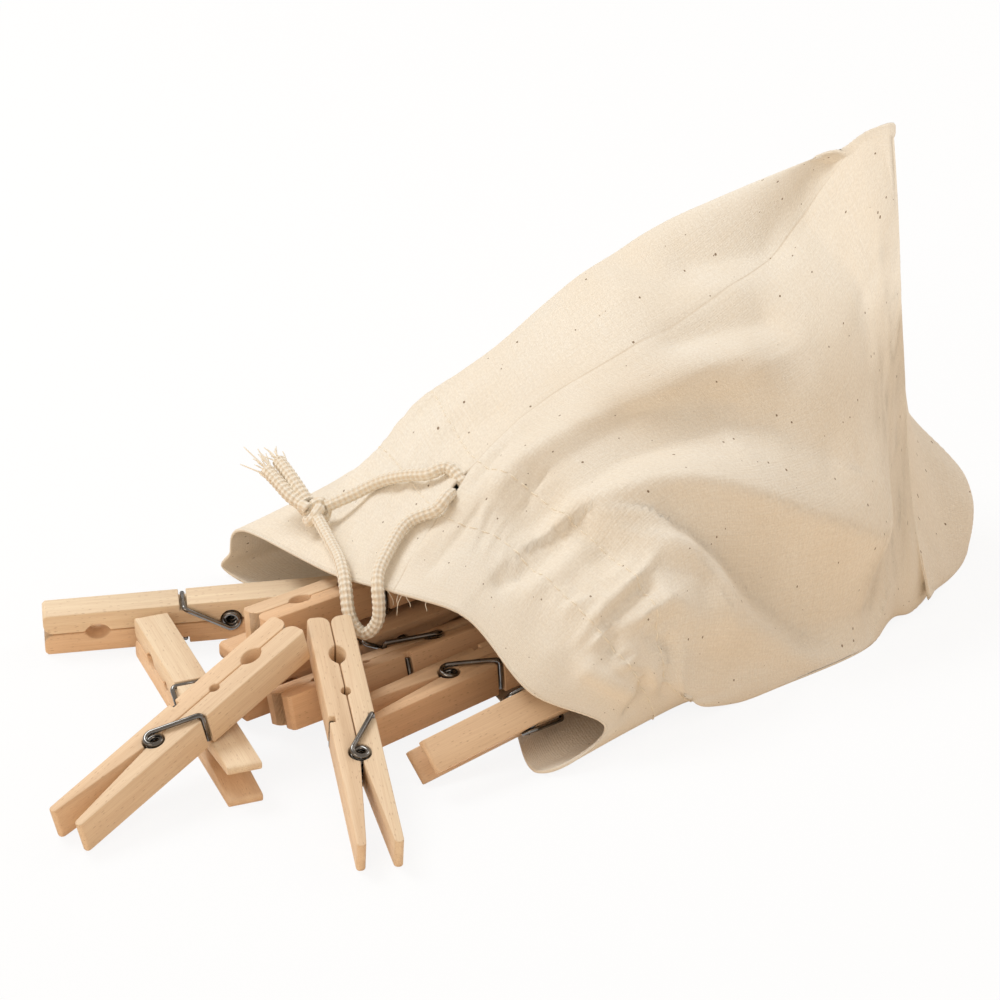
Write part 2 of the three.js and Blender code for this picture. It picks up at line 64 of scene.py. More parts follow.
# How the cloth lies: places along its bottom fold, and places round it at distances from that fold.
FOLD_LINE = [
    [94.5, 40, 101], [94.6, 18.8, 87], [94.3, -1.3, 72.3],
    [95.7, -8.8, 49.5], [97.8, -16.6, 26.3], [102.2, -19.5, 3.8],
]
CLOTH_RINGS = {
    10: [[87, 41.2, 97], [90.5, 13, 82.3], [92.3, -5.6, 65.5], [93.9, -13.6, 40.5], [98.1, -20.7, 12.2],
         [105, -10, 1.5], [108, -4, 5], [101.5, 4, 31], [93.6, 9, 51], [88.6, 28.5, 85.2]],
    22: [[77, 37, 86], [86, 6.1, 76.6], [90.2, -10.8, 57.4], [92.1, -19.7, 30], [97, -22.1, 2.1],
         [106.5, 0, 0], [114, 14, 1], [113.5, 20, 16], [93, 34, 38], [80.5, 42.6, 88.6]],
    55: [[57, 11, 73], [73, -13, 61], [84, -25, 35], [86, -37, 1], [90, -24, 0],
         [92, 0, 0], [90, 28, 0], [80, 42, 20], [66, 49, 50], [45.6, 37, 79.7]],
    90: [[32, -10, 66], [50, -22, 55], [63, -40, 31], [63, -56, 1], [66, -42, 0],
         [62, -12, 0], [54, 24, 0], [46, 34, 18], [34, 38, 46], [20, 28, 67]],
    120: [[9, -17, 54], [23, -32, 50], [46, -52, 37], [46, -69, 6], [50, -54, 0],
          [42, -24, 0], [22, 20, 0], [11, 28, 16], [3, 27, 38], [0, 12, 56]],
    146: [[-10, -37, 42], [5, -48, 40], [26, -70.5, 30.5], [35.5, -75.5, 13], [40, -62, 0],
          [22, -30, 0], [-9, 16, 0], [-17, 20, 14], [-21, 13, 30], [-22, 0, 41]],
    182: [[-24, -64, 31], [-7, -73, 29], [7, -86, 17.5], [24, -85, 7.5], [8, -92, 0],
          [-5, -52, 0], [-62, -5, 0], [-65, -3, 8], [-61, -9, 17], [-39, -48, 27]],
}
RING_STATIONS = np.array([0, *CLOTH_RINGS], float)
RING_PLACES = np.array([FOLD_LINE + FOLD_LINE[-2:0:-1], *CLOTH_RINGS.values()], float)
PLACES_ROUND = RING_PLACES.shape[1]


def smooth_between(before, start, end, after, share):
    """The place part of the way from start to end on a smooth curve through all four."""
    share = np.asarray(share)[..., None]
    leave = (end - before) / 2
    arrive = (after - start) / 2
    cubed = (2 * (start - end) + leave + arrive) * share**3
    squared = (3 * (end - start) - 2 * leave - arrive) * share**2
    return cubed + squared + leave * share + start


def cloth_place(station, share):
    """Where the cloth lies at a distance from the bottom fold and a share of the way round."""
    station, share = np.broadcast_arrays(np.asarray(station, float), np.asarray(share, float))
    turn = (share % 1) * PLACES_ROUND
    slot = np.floor(turn).astype(int)
    near = [RING_PLACES[:, (slot + step) % PLACES_ROUND] for step in (-1, 0, 1, 2)]
    rings = smooth_between(*near, turn - slot)
    last = len(RING_STATIONS) - 1
    span = np.clip(np.searchsorted(RING_STATIONS, station) - 1, 0, last - 1)
    picks = [np.clip(span + step, 0, last)[None, ..., None] for step in (-1, 0, 1, 2)]
    rows = [np.take_along_axis(rings, pick, axis=0)[0] for pick in picks]
    along = (station - RING_STATIONS[span]) / (RING_STATIONS[span + 1] - RING_STATIONS[span])
    place = smooth_between(*rows, along)
    place[..., 2] = np.maximum(place[..., 2], 0)
    return place


def lengths(steps):
    return np.linalg.norm(steps, axis=-1, keepdims=True)


STEP_ALONG = 0.5
STEP_ROUND = 0.004


def off_cloth(station, share, out):
    """The same with a distance out from the cloth; less than nothing is inside the bag."""
    station, share, out = np.broadcast_arrays(station, share, np.asarray(out, float))
    near = np.clip(station, STEP_ALONG, BAG_LENGTH - STEP_ALONG)
    along = cloth_place(near + STEP_ALONG, share) - cloth_place(near - STEP_ALONG, share)
    around = cloth_place(near, share + STEP_ROUND) - cloth_place(near, share - STEP_ROUND)
    normal = np.cross(along, around)
    normal /= lengths(normal)
    return cloth_place(station, share) + normal * out[..., None]


CAD_COLUMNS = 48
mouth_ring = cloth_place(BAG_LENGTH, np.arange(CAD_COLUMNS) / CAD_COLUMNS)
bag_low = np.array(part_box("bag_cloth")[0]) / MM
FRAME_SHIFT = np.array([*(bag_low - mouth_ring.min(axis=0))[:2], 0])


def in_frame(places):
    """Bag places in millimetres as places in the part's frame in metres."""
    return (np.asarray(places) + FRAME_SHIFT) * MM


CLOTH_ROWS = 150
CLOTH_COLUMNS = 300
stations = np.linspace(0, BAG_LENGTH, CLOTH_ROWS + 1)
shares = np.arange(CLOTH_COLUMNS) / CLOTH_COLUMNS


def grid_normals(places):
    """Outward directions on a grid of cloth places."""
    along = np.gradient(places, axis=0)
    around = np.roll(places, -1, axis=1) - np.roll(places, 1, axis=1)
    normal = np.cross(along, around)
    return normal / np.maximum(lengths(normal), 1e-9)


# Where the cloth folds: how far it stands out, how softly it falls away above and below, and
# the line of the fold as distances from the bottom and shares of the way round.
FOLDS = [
    (2.2, 10, 9, [(140, 0.050), (122, 0.066), (102, 0.060), (85, 0.058), (72, 0.064)]),
    (-2.8, 10, 8, [(144, 0.108), (128, 0.120), (107, 0.116), (89, 0.110), (75, 0.126), (64, 0.158)]),
    (4.0, 13, 6, [(130, 0.138), (122, 0.146), (109, 0.158), (92, 0.170), (73, 0.196), (50, 0.232)]),
    (-3.0, 11, 5, [(120, 0.178), (112, 0.202), (93, 0.234), (69, 0.272), (52, 0.305)]),
    (2.4, 5, 8, [(126, 0.190), (121, 0.216), (107, 0.243), (87, 0.260), (73, 0.288)]),
    (-2.2, 8, 5, [(138, 0.160), (134, 0.186), (129, 0.208), (121, 0.224)]),
    (1.4, 4, 7, [(134, 0.220), (125, 0.244), (112, 0.247)]),
    (-1.4, 5, 6, [(125, 0.265), (114, 0.268), (92, 0.278)]),
    (-2.6, 8, 8, [(62, -0.040), (52, -0.025), (44, -0.008)]),
    (-2.0, 10, 10, [(31, 0.012), (29, 0.058), (26, 0.103)]),
    (-2.2, 6, 6, [(80, 0.016), (69, 0.028), (58, 0.041)]),
    (-1.8, 7, 7, [(78, -0.075), (72, -0.035)]),
    (-1.6, 6, 5, [(106, 0.072), (96, 0.082), (84, 0.090)]),
    (-1.4, 6, 5, [(134, 0.083), (123, 0.088), (111, 0.082)]),
    (1.6, 12, 12, [(84, -0.040), (70, -0.020), (59, 0.003)]),
    (-1.0, 2.5, 2.5, [(164, 0.113), (158, 0.125), (153, 0.130), (144, 0.133)]),
    (0.7, 2.5, 2.5, [(160, 0.140), (150, 0.146), (142, 0.147)]),
    (-0.6, 2.0, 2.0, [(150, 0.163), (146, 0.160), (140, 0.165)]),
    (0.6, 2.0, 2.0, [(154, 0.178), (146, 0.176), (138, 0.178)]),
    (1.1, 2.4, 1.8, [(152, 0.196), (142, 0.194), (133, 0.191)]),
    (-1.0, 1.8, 1.8, [(151, 0.206), (144, 0.205), (137, 0.205)]),
    (0.9, 2.2, 3.2, [(149, 0.220), (141, 0.223), (131, 0.230)]),
    (-0.8, 4.0, 3.0, [(149, 0.178), (144, 0.174), (139, 0.173)]),
    (1.2, 3.0, 3.0, [(129, 0.270), (130, 0.288)]),
    (1.4, 4.0, 3.0, [(164, 0.230), (163, 0.258), (160, 0.284)]),
    (1.0, 3.0, 3.0, [(145, 0.283), (149, 0.304)]),
    (-1.2, 6.0, 6.0, [(164, 0.163), (162, 0.190), (167, 0.218)]),
    (0.7, 4, 4, [(158, -0.020), (140, 0.000), (126, 0.006)]),
    (-0.7, 4, 4, [(160, -0.050), (145, -0.035), (130, -0.030)]),
    (0.8, 4, 4, [(164, -0.085), (150, -0.065), (134, -0.058)]),
    (-0.9, 4, 4, [(168, -0.125), (152, -0.092), (138, -0.082)]),
    (0.9, 4, 4, [(168, -0.160), (154, -0.122), (140, -0.108)]),
]
FOLD_SOFTNESS = 1.7
# Sharp creases along the crests and in the hollows of these folds, in the same way.
CREASES = [
    (3.0, 15, 6, [(132, 0.136), (122, 0.146), (109, 0.158), (92, 0.170), (73, 0.196), (50, 0.232)]),
    (-2.7, 9, 7, [(120, 0.178), (112, 0.202), (93, 0.234), (69, 0.272), (52, 0.305)]),
    (-1.6, 8, 8, [(144, 0.108), (128, 0.120), (107, 0.116), (89, 0.110), (75, 0.126)]),
    (1.0, 8, 8, [(140, 0.050), (122, 0.066), (102, 0.060), (85, 0.058), (72, 0.064)]),
    (0.8, 5, 4, [(85, 0.085), (68, 0.075), (53, 0.078)]),
    (-1.0, 8, 8, [(62, -0.040), (52, -0.025), (44, -0.008)]),
    (-0.9, 8, 8, [(31, 0.012), (29, 0.058), (26, 0.103)]),
    (0.8, 9, 9, [(84, -0.040), (70, -0.020), (59, 0.003)]),
    (1.0, 5, 7, [(126, 0.190), (121, 0.216), (107, 0.243), (87, 0.260)]),
    (-0.9, 6, 6, [(138, 0.160), (134, 0.186), (129, 0.208), (121, 0.224)]),
    (-1.3, 3.2, 3.2, [(139, 0.248), (134, 0.261)]),
    (-1.3, 3.3, 3.3, [(134, 0.262), (136, 0.278), (147, 0.322)]),
    (-1.8, 3.2, 3.0, [(151, 0.222), (157, 0.236)]),
    (1.3, 2.6, 2.6, [(157, 0.244), (150, 0.268)]),
    (-1.6, 3.4, 3.6, [(151, 0.278), (154, 0.289), (160, 0.303), (166, 0.308)]),
    (1.0, 4.0, 3.0, [(166, 0.230), (165, 0.258), (164, 0.284)]),
    (0.9, 3, 3, [(145, 0.275), (147, 0.292)]),
    (-1.4, 4, 3, [(107, 0.295), (121, 0.305), (134, 0.335)]),
    (-0.9, 2.5, 2.5, [(164, 0.113), (158, 0.125), (153, 0.130), (144, 0.133)]),
    (0.6, 1.8, 1.6, [(152, 0.196), (142, 0.194), (133, 0.191)]),
    (-0.9, 1.7, 1.7, [(151, 0.206), (144, 0.205), (137, 0.205)]),
    (0.8, 3, 3, [(170, 0.000), (160, 0.012), (150, 0.018)]),
    (-0.8, 3, 3, [(168, 0.030), (158, 0.040), (146, 0.045)]),
    (0.7, 3, 3, [(176, -0.060), (164, -0.050), (154, -0.048)]),
]
CREASE_SOFTNESS = 1.0
SEAM_GROOVE = 0.15
STITCH_GROOVE = 0.12
CASING = (138.5, 153.5)
# Where there is spare cloth to buckle: its middle, how far it spreads along and round, and the
# share of spare length along and round.
SPARE = [
    (146, 0.23, 8, 20, 0.01, 0.02),
    (152, 0.28, 8, 10, 0.01, 0.02),
    (146, 0.12, 9, 30, 0.01, 0.02),
    (146, -0.07, 12, 34, 0.01, 0.03),
    (100, 0.20, 34, 34, 0.01, 0.01),
]


def pattern_steps(station, share):
    """Steps on the flat cloth from a spot to every place of the grid, in millimetres."""
    along = stations[:, None] - station + 0 * shares[None, :]
    around = ((shares[None, :] - share + 0.5) % 1 - 0.5) * BAG_ROUND + 0 * along
    return along, around


def fold_height(line, height, above, below, softness):
    """How far a fold lifts each place of the grid."""
    nearest = np.full((CLOTH_ROWS + 1, CLOTH_COLUMNS), np.inf)
    width = np.full_like(nearest, above)
    for (station, share), (next_station, next_share) in zip(line, line[1:]):
        along, around = pattern_steps(station, share)
        run = next_station - station
        rise = (next_share - share) * BAG_ROUND
        reach = np.clip((along * run + around * rise) / (run**2 + rise**2), 0, 1)
        away = np.hypot(along - reach * run, around - reach * rise)
        lower = (run * around - rise * along) * np.sign(run) > 0
        width = np.where(away < nearest, np.where(lower, below, above), width)
        nearest = np.minimum(nearest, away)
    return height * np.exp(-((nearest / width) ** softness))


def beside(values):
    """The sum of the four places next to each place of the grid."""
    padded = np.concatenate([values[:1], values, values[-1:]])
    return padded[2:] + padded[:-2] + np.roll(values, 1, axis=1) + np.roll(values, -1, axis=1)


# How the cloth behaves as it settles: the pull of its threads, of its bias and of its bending, and
# how firmly each part of it is held where it lies.
THREAD = 0.2
BIAS = 0.05
STIFFNESS = 0.003
HOLD = 0.004
FIRM_HOLD = 0.15
MOUTH_HOLD = 0.05
CASING_HOLD = 0.03
CASING_REACH = 9
START_BULGE = 8
SETTLE_ROUNDS = 300


def pull_of(strength, steps, rest):
    """How threads pull or push along steps that are longer or shorter than at rest."""
    return strength * (1 - rest / lengths(steps)) * steps


def settle(cloth, spare_along, spare_around, hold, rounds):
    """Lets spare cloth buckle: threads push out to their own length, while the cloth resists
    sharp bends and is held near its lie."""
    lie = cloth.copy()
    along_rest = lengths(np.diff(lie, axis=0)) * (1 + (spare_along[1:] + spare_along[:-1])[..., None] / 2)
    around_rest = lengths(np.roll(lie, -1, axis=1) - lie) * (1 + spare_around[..., None])
    bias_rest = lengths(np.roll(lie, -1, axis=1)[1:] - lie[:-1]) * (1 + spare_around[1:, :, None] / 2)
    other_rest = lengths(lie[1:] - np.roll(lie, -1, axis=1)[:-1]) * (1 + spare_around[1:, :, None] / 2)
    uneven = np.random.default_rng(11).normal(size=cloth.shape[:2])
    for _ in range(3):
        uneven = (uneven + np.roll(uneven, 1, axis=1) + np.roll(uneven, -1, axis=1)) / 3
        uneven[1:-1] = (uneven[1:-1] + uneven[2:] + uneven[:-2]) / 3
    spare = spare_along + spare_around
    cloth = cloth + grid_normals(lie) * (uneven * START_BULGE * spare)[..., None]
    for _ in range(rounds):
        push = -hold[..., None] * (cloth - lie)
        right = np.roll(cloth, -1, axis=1)
        pull = pull_of(THREAD, np.diff(cloth, axis=0), along_rest)
        push[:-1] += pull
        push[1:] -= pull
        pull = pull_of(THREAD, right - cloth, around_rest)
        push += pull - np.roll(pull, 1, axis=1)
        pull = pull_of(BIAS, right[1:] - cloth[:-1], bias_rest)
        push[:-1] += pull
        push[1:] -= np.roll(pull, 1, axis=1)
        pull = pull_of(BIAS, cloth[1:] - right[:-1], other_rest)
        push[1:] -= pull
        push[:-1] += np.roll(pull, 1, axis=1)
        bulge = cloth - lie
        for _ in range(2):
            bulge = beside(bulge) - 4 * bulge
        push -= STIFFNESS * bulge
        cloth = cloth + push
        cloth[..., 2] = np.maximum(cloth[..., 2], 0)
    return cloth


# Small gathers cross both rows of stitches, most of them where the casing is drawn up tightest.
GATHERED = (-0.22, 0.36)
GATHER_STEP = 2.6
GATHER_DEPTH = (0.1, 0.35)
GATHER_REACH = (2, 7)
GATHER_SWAY = 0.006
GATHER_WIDTH = 1.1
TIGHTEST = 0.24
TIGHTEST_REACH = 0.08
TIGHTEST_DEPTH = 1.2
# Cloth on the table stays flat, and lies smooth where it comes down in front of the mouth.
ON_TABLE = 0.5
RISES_OVER = 8
SPARE_EVERYWHERE = 0.006
LAID_SMOOTH = (146, 0.355)
LAID_REACH = (20, 13)
LAID_EASE = 0.5
LAID_ROUNDS = 30
RUMPLE = 0.05
RUMPLE_ROUNDS = 14
draped = cloth_place(stations[:, None], shares[None, :])
lift = sum(fold_height(line, *size, FOLD_SOFTNESS) for *size, line in FOLDS)
on_table = draped[..., 2] < ON_TABLE
lift[:, 0] -= SEAM_GROOVE
for stitched in CASING:
    lift[np.argmin(abs(stations - stitched))] -= STITCH_GROOVE
gathers = np.random.default_rng(5)
for stitched in CASING:
    for share in np.arange(*GATHERED, GATHER_STEP / BAG_ROUND):
        tightness = np.exp(-(((share - TIGHTEST) / TIGHTEST_REACH) ** 2))
        depth = gathers.uniform(*GATHER_DEPTH) * (1 + TIGHTEST_DEPTH * tightness)
        ahead, behind = gathers.uniform(*GATHER_REACH, size=2)
        sway = gathers.normal(size=2) * GATHER_SWAY
        line = [(stitched + ahead, share + sway[0]), (stitched - behind, share + sway[1])]
        height = gathers.choice([-depth, depth])
        lift += fold_height(line, height, GATHER_WIDTH, GATHER_WIDTH, FOLD_SOFTNESS)
off_table = np.clip((draped[..., 2] - ON_TABLE) / RISES_OVER, 0, 1)
lift *= off_table
draped = draped + grid_normals(draped) * lift[..., None]
spare_along = np.full(lift.shape, SPARE_EVERYWHERE)
spare_around = np.full(lift.shape, SPARE_EVERYWHERE)
for station, share, long_reach, round_reach, more_along, more_around in SPARE:
    along, around = pattern_steps(station, share)
    near = np.exp(-((along / long_reach) ** 2) - (around / round_reach) ** 2)
    spare_along += more_along * near * off_table
    spare_around += more_around * near * off_table
hold = np.full(lift.shape, HOLD)
for stitched in CASING:
    hold += CASING_HOLD * np.exp(-(((stations[:, None] - stitched) / CASING_REACH) ** 2))
hold[on_table] = FIRM_HOLD
hold[:2] = FIRM_HOLD
hold[-2:] = MOUTH_HOLD
draped = settle(draped, spare_along, spare_around, hold, SETTLE_ROUNDS)
along, around = pattern_steps(*LAID_SMOOTH)
near = np.exp(-((along / LAID_REACH[0]) ** 2) - (around / LAID_REACH[1]) ** 2)
ease = LAID_EASE * near[1:-1, :, None]
for _ in range(LAID_ROUNDS):
    draped[1:-1] += ease * (beside(draped)[1:-1] / 4 - draped[1:-1])
lift = sum(fold_height(line, *size, CREASE_SOFTNESS) for *size, line in CREASES)
rumple = np.random.default_rng(8).normal(size=lift.shape)
for _ in range(RUMPLE_ROUNDS):
    rumple = beside(rumple) / 4
lift += RUMPLE * rumple / rumple.std()
lift *= off_table
draped = draped + grid_normals(draped) * lift[..., None]


def grid_mesh(name, rows, closed_end):
    """A tube of cloth from rows of places, with its flat pattern in millimetres as its UV map."""
    count, columns = rows.shape[:2]
    index = np.arange(count * columns).reshape(count, columns)
    if closed_end:
        mirror = (-np.arange(columns)) % columns
        index[0] = np.minimum(index[0], index[0][mirror])
    faces, corners = [], []
    for row in range(count - 1):
        for column in range(columns):
            after = (column + 1) % columns
            face = [index[row, column], index[row + 1, column], index[row + 1, after], index[row, after]]
            uv = [(column, row), (column, row + 1), (column + 1, row + 1), (column + 1, row)]
            kept = [i for i, vertex in enumerate(face) if vertex not in face[:i]]
            if len(kept) > 2:
                faces.append([face[i] for i in kept])
                corners += [uv[i] for i in kept]
    mesh = bpy.data.meshes.new(name)
    mesh.from_pydata(in_frame(rows.reshape(-1, 3)).tolist(), [], faces)
    flat = np.array(corners, float) * [BAG_ROUND / columns, BAG_LENGTH / CLOTH_ROWS]
    layer = mesh.uv_layers.new(name="flat_pattern")
    layer.uv.foreach_set("vector", flat.ravel().astype(np.float32))
    return mesh


def add_piece(name, mesh):
    """A new piece with this mesh, the only one selected."""
    bpy.ops.object.select_all(action="DESELECT")
    piece = bpy.data.objects.new(name, mesh)
    bpy.context.collection.objects.link(piece)
    bpy.context.view_layer.objects.active = piece
    piece.select_set(True)
    return piece


def apply_modifier(piece, kind, **settings):
    """Adds a modifier with these settings and applies it."""
    modifier = piece.modifiers.new(kind.lower(), kind)
    for setting, value in settings.items():
        setattr(modifier, setting, value)
    bpy.ops.object.modifier_apply(modifier=modifier.name)


def new_material(name):
    """A material with nodes, and its shader."""
    material = bpy.data.materials.new(name)
    material.use_nodes = True
    return material, material.node_tree.nodes["Principled BSDF"]


def add_node(material, kind, **sockets):
    """A node of a material with these values on its input sockets."""
    node = material.node_tree.nodes.new(kind)
    for socket, value in sockets.items():
        node.inputs[socket.replace("_", " ")].default_value = value
    return node


def link(material, source, target):
    material.node_tree.links.new(source, target)


def mix_colours(material, share, first, second):
    """A colour mix node; first and second are colours or sockets."""
    mix = material.node_tree.nodes.new("ShaderNodeMix")
    mix.data_type = "RGBA"
    for socket, value in ((mix.inputs[0], share), (mix.inputs[6], first), (mix.inputs[7], second)):
        if isinstance(value, bpy.types.NodeSocket):
            link(material, value, socket)
        else:
            socket.default_value = value
    return mix.outputs[2]


def calculate(material, operation, *values):
    """A math node; values are numbers or sockets."""
    node = material.node_tree.nodes.new("ShaderNodeMath")
    node.operation = operation
    for socket, value in zip(node.inputs, values):
        if isinstance(value, bpy.types.NodeSocket):
            link(material, value, socket)
        else:
            socket.default_value = value
    return node.outputs[0]


def tint(material, colour, pattern, strength, other):
    """A colour turned towards another where a pattern is high."""
    return mix_colours(material, calculate(material, "MULTIPLY", pattern, strength), colour, other)


def stretched(material, coordinates, scale):
    """Coordinates scaled along each axis, so that a pattern runs long along the smaller one."""
    mapping = add_node(material, "ShaderNodeMapping", Scale=scale)
    link(material, coordinates, mapping.inputs["Vector"])
    return mapping.outputs["Vector"]


def noise(material, coordinates, scale, detail=2.0, rough=0.5):
    texture = add_node(material, "ShaderNodeTexNoise", Scale=scale, Detail=detail, Roughness=rough)
    link(material, coordinates, texture.inputs["Vector"])
    return texture.outputs["Fac"]


def spread(material, value, low, high, to_low=0.0, to_high=1.0):
    """Maps a range of values to another, stopping at its ends."""
    ranged = add_node(material, "ShaderNodeMapRange")
    for socket, number in zip(("From Min", "From Max", "To Min", "To Max"), (low, high, to_low, to_high)):
        ranged.inputs[socket].default_value = number
    link(material, value, ranged.inputs["Value"])
    return ranged.outputs["Result"]


def scattered(material, cells, coordinates, fewest, widest):
    """Spots of uneven size, one to a cell: how far each place lies from its spot and the spot's size."""
    link(material, coordinates, cells.inputs["Vector"])
    chance = add_node(material, "ShaderNodeSeparateColor")
    link(material, cells.outputs["Color"], chance.inputs["Color"])
    return cells.outputs["Distance"], spread(material, chance.outputs["Red"], fewest, 1.0, 0.0, widest)


def raise_surface(material, shader, height, strength, distance):
    bump = add_node(material, "ShaderNodeBump", Strength=strength, Distance=distance)
    link(material, height, bump.inputs["Height"])
    link(material, bump.outputs["Normal"], shader.inputs["Normal"])


def weave_bands(material, coordinates, direction):
    """Threads side by side, uneven as hand-spun yarn is."""
    threads = add_node(material, "ShaderNodeTexWave", Scale=BAND_LENGTH / THREAD_PITCH,
                       Distortion=1.2, Detail=2.0, Detail_Scale=0.8)
    threads.bands_direction = direction
    link(material, coordinates, threads.inputs["Vector"])
    return threads.outputs["Fac"]


# Unbleached cotton in a plain weave: cream, with uneven threads, thin and thick runs of yarn and
# small brown flecks of seed husk. Its pattern lies on the flat cloth, in millimetres.
THREAD_PITCH = 0.55
BAND_LENGTH = 0.314
SLUB_RUNS = ((2.2, 0.09, 1), (0.09, 2.2, 1))
FLECK_SIZES = ((0.085, 0.028, 0.0), (0.13, 0.040, 31.7))
SEAM_EDGES = (0.15, 0.4)
CREAM = (0.91, 0.845, 0.735, 1)
PALE_CREAM = (0.93, 0.89, 0.805, 1)
TAN_YARN = (0.85, 0.71, 0.52, 1)
SHADED_YARN = (0.70, 0.62, 0.51, 1)
HUSK = (0.16, 0.085, 0.03, 1)
SEAM_SHADE = (0.50, 0.36, 0.21, 1)


def cotton_material(name):
    material, shader = new_material(name)
    flat = add_node(material, "ShaderNodeUVMap")
    flat.uv_map = "flat_pattern"
    flat = flat.outputs["UV"]
    warp = weave_bands(material, flat, "X")
    weft = weave_bands(material, flat, "Y")
    slubs = []
    for run in SLUB_RUNS:
        slubs.append(spread(material, noise(material, stretched(material, flat, run), 1.0), 0.35, 0.7))
    slubs = calculate(material, "ADD", *slubs)
    blotches = spread(material, noise(material, flat, 0.035, 3.0), 0.35, 0.65)
    colour = mix_colours(material, blotches, CREAM, PALE_CREAM)
    colour = tint(material, colour, slubs, 0.16, TAN_YARN)
    threads = calculate(material, "MULTIPLY", warp, weft)
    grain = spread(material, noise(material, flat, 1.5, 3.0, 0.7), 0.38, 0.62)
    colour = tint(material, colour, threads, 0.16, SHADED_YARN)
    colour = tint(material, colour, grain, 0.36, SHADED_YARN)
    for cells_per_mm, widest_fleck, shift in FLECK_SIZES:
        place = add_node(material, "ShaderNodeMapping", Location=(shift, shift, 0))
        link(material, flat, place.inputs["Vector"])
        cells = add_node(material, "ShaderNodeTexVoronoi", Scale=cells_per_mm)
        cells.voronoi_dimensions = "2D"
        away, size = scattered(material, cells, place.outputs["Vector"], 0.45, widest_fleck)
        colour = tint(material, colour, calculate(material, "LESS_THAN", away, size), 0.85, HUSK)
    height = calculate(material, "ADD", calculate(material, "ADD", warp, weft), slubs)
    height = calculate(material, "ADD", height, calculate(material, "MULTIPLY", grain, 2.0))
    across = add_node(material, "ShaderNodeSeparateXYZ")
    link(material, flat, across.inputs["Vector"])
    # Painted shade: a thin, patchy darker band along both side seams, where the seam groove lies.
    from_seam = calculate(material, "PINGPONG", across.outputs["X"], BAG_ROUND / 4)
    seam = spread(material, from_seam, *SEAM_EDGES, 1.0, 0.0)
    uneven_along_seam = spread(material, noise(material, flat, 0.05), 0.4, 0.6, 0.25, 1.0)
    seam = calculate(material, "MULTIPLY", seam, uneven_along_seam)
    colour = tint(material, colour, seam, 0.30, SEAM_SHADE)
    height = calculate(material, "SUBTRACT", height, calculate(material, "MULTIPLY", seam, 3.0))
    link(material, colour, shader.inputs["Base Color"])
    shader.inputs["Roughness"].default_value = 0.88
    shader.inputs["Specular IOR Level"].default_value = 0.25
    shader.inputs["Sheen Weight"].default_value = 0.15
    raise_surface(material, shader, height, 0.26, 0.00012)
    return material


# The seam is left open for a short way between the two rows of stitches, for the cord.
SEAM_GAP = (141.5, 151.0)
GAP_WIDTH = 1.8
GAP_EASE = 7
gap_rows = np.flatnonzero((stations > SEAM_GAP[0]) & (stations < SEAM_GAP[1]))
opened = draped.copy()
gap_way = np.roll(draped, -2, axis=1)[:, 0] - np.roll(draped, 2, axis=1)[:, 0]
gap_way /= lengths(gap_way)
gap_half = np.zeros(len(stations))
gap_turn = np.pi * (stations[gap_rows] - SEAM_GAP[0]) / (SEAM_GAP[1] - SEAM_GAP[0])
gap_half[gap_rows] = GAP_WIDTH / 2 * np.sin(gap_turn)
for column in range(1, GAP_EASE):
    eased = (gap_half * (1 - column / GAP_EASE))[:, None] * gap_way
    opened[:, column] += eased
    opened[:, -column] -= eased

# Where the cloth is laid flat with its right side up, its thickness lies on the table.
face_up = (grid_normals(opened)[..., 2] > 0) & (opened[..., 2] < CLOTH_THICKNESS)
opened[face_up, 2] = CLOTH_THICKNESS

cotton = cotton_material("unbleached_cotton")
mesh = grid_mesh("bag_cotton", opened, True)
bag = add_piece("bag_cotton", mesh)
cut = bmesh.new()
cut.from_mesh(mesh)
cut.verts.ensure_lookup_table()
seam_line = {row * CLOTH_COLUMNS for row in range(gap_rows[0] - 1, gap_rows[-1] + 2)}
seam_edges = [edge for edge in cut.edges if all(vertex.index in seam_line for vertex in edge.verts)]
row_at = {cut.verts[row * CLOTH_COLUMNS].co.copy().freeze(): row for row in gap_rows}
bmesh.ops.split_edges(cut, edges=seam_edges)
for vertex in cut.verts:
    row = row_at.get(vertex.co.copy().freeze())
    if row is not None:
        middles = [face.calc_center_median() for face in vertex.link_faces]
        middle = sum(middles, Vector()) / len(middles)
        way = Vector(gap_way[row])
        vertex.co += way * math.copysign(gap_half[row] * MM, (middle - vertex.co).dot(way))
cut.to_mesh(mesh)
cut.free()
bpy.ops.object.mode_set(mode="EDIT")
bpy.ops.mesh.select_all(action="SELECT")
bpy.ops.mesh.delete_loose()
bpy.ops.object.mode_set(mode="OBJECT")
bpy.ops.object.shade_smooth()
fold_vertices = {tuple(vertex.co) for vertex in mesh.vertices if vertex.index < CLOTH_COLUMNS}
for edge in mesh.edges:
    edge.use_edge_sharp = all(tuple(mesh.vertices[end].co) in fold_vertices for end in edge.vertices)
apply_modifier(bag, "SOLIDIFY", thickness=CLOTH_THICKNESS * MM, offset=-1)
mesh.materials.append(cotton)
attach(bag, "bag")
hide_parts("bag_cloth")

# The hem. At the mouth the cloth turns in over itself and is sewn down above and below the
# drawstring, so that the cord runs between the two layers. The turned edge shows as a soft roll.
HEM_FROM = 135.5
CASING_RISE = 3.4
CASING_DEPTH = 5.0
HEM_DEPTH = 0.75
HEM_THICKNESS = 0.3
ROLL = [(0, 0.06), (0.35, -0.1), (0.5, -0.45), (0.35, -0.8)]
hem_rows = np.flatnonzero(stations >= HEM_FROM)[::-1]
outward = grid_normals(draped)
edge_way = draped[-1] - draped[-2]
edge_way /= lengths(edge_way)
hem = [draped[-1] + edge_way * ahead + outward[-1] * out for ahead, out in ROLL]
for row in hem_rows:
    into_casing = min(stations[row] - CASING[0], CASING[1] - stations[row]) / CASING_RISE
    depth = HEM_DEPTH + CASING_DEPTH * np.clip(into_casing, 0, 1)
    hem.append(draped[row] - outward[row] * depth)
mesh = grid_mesh("mouth_hem", np.array(hem), False)
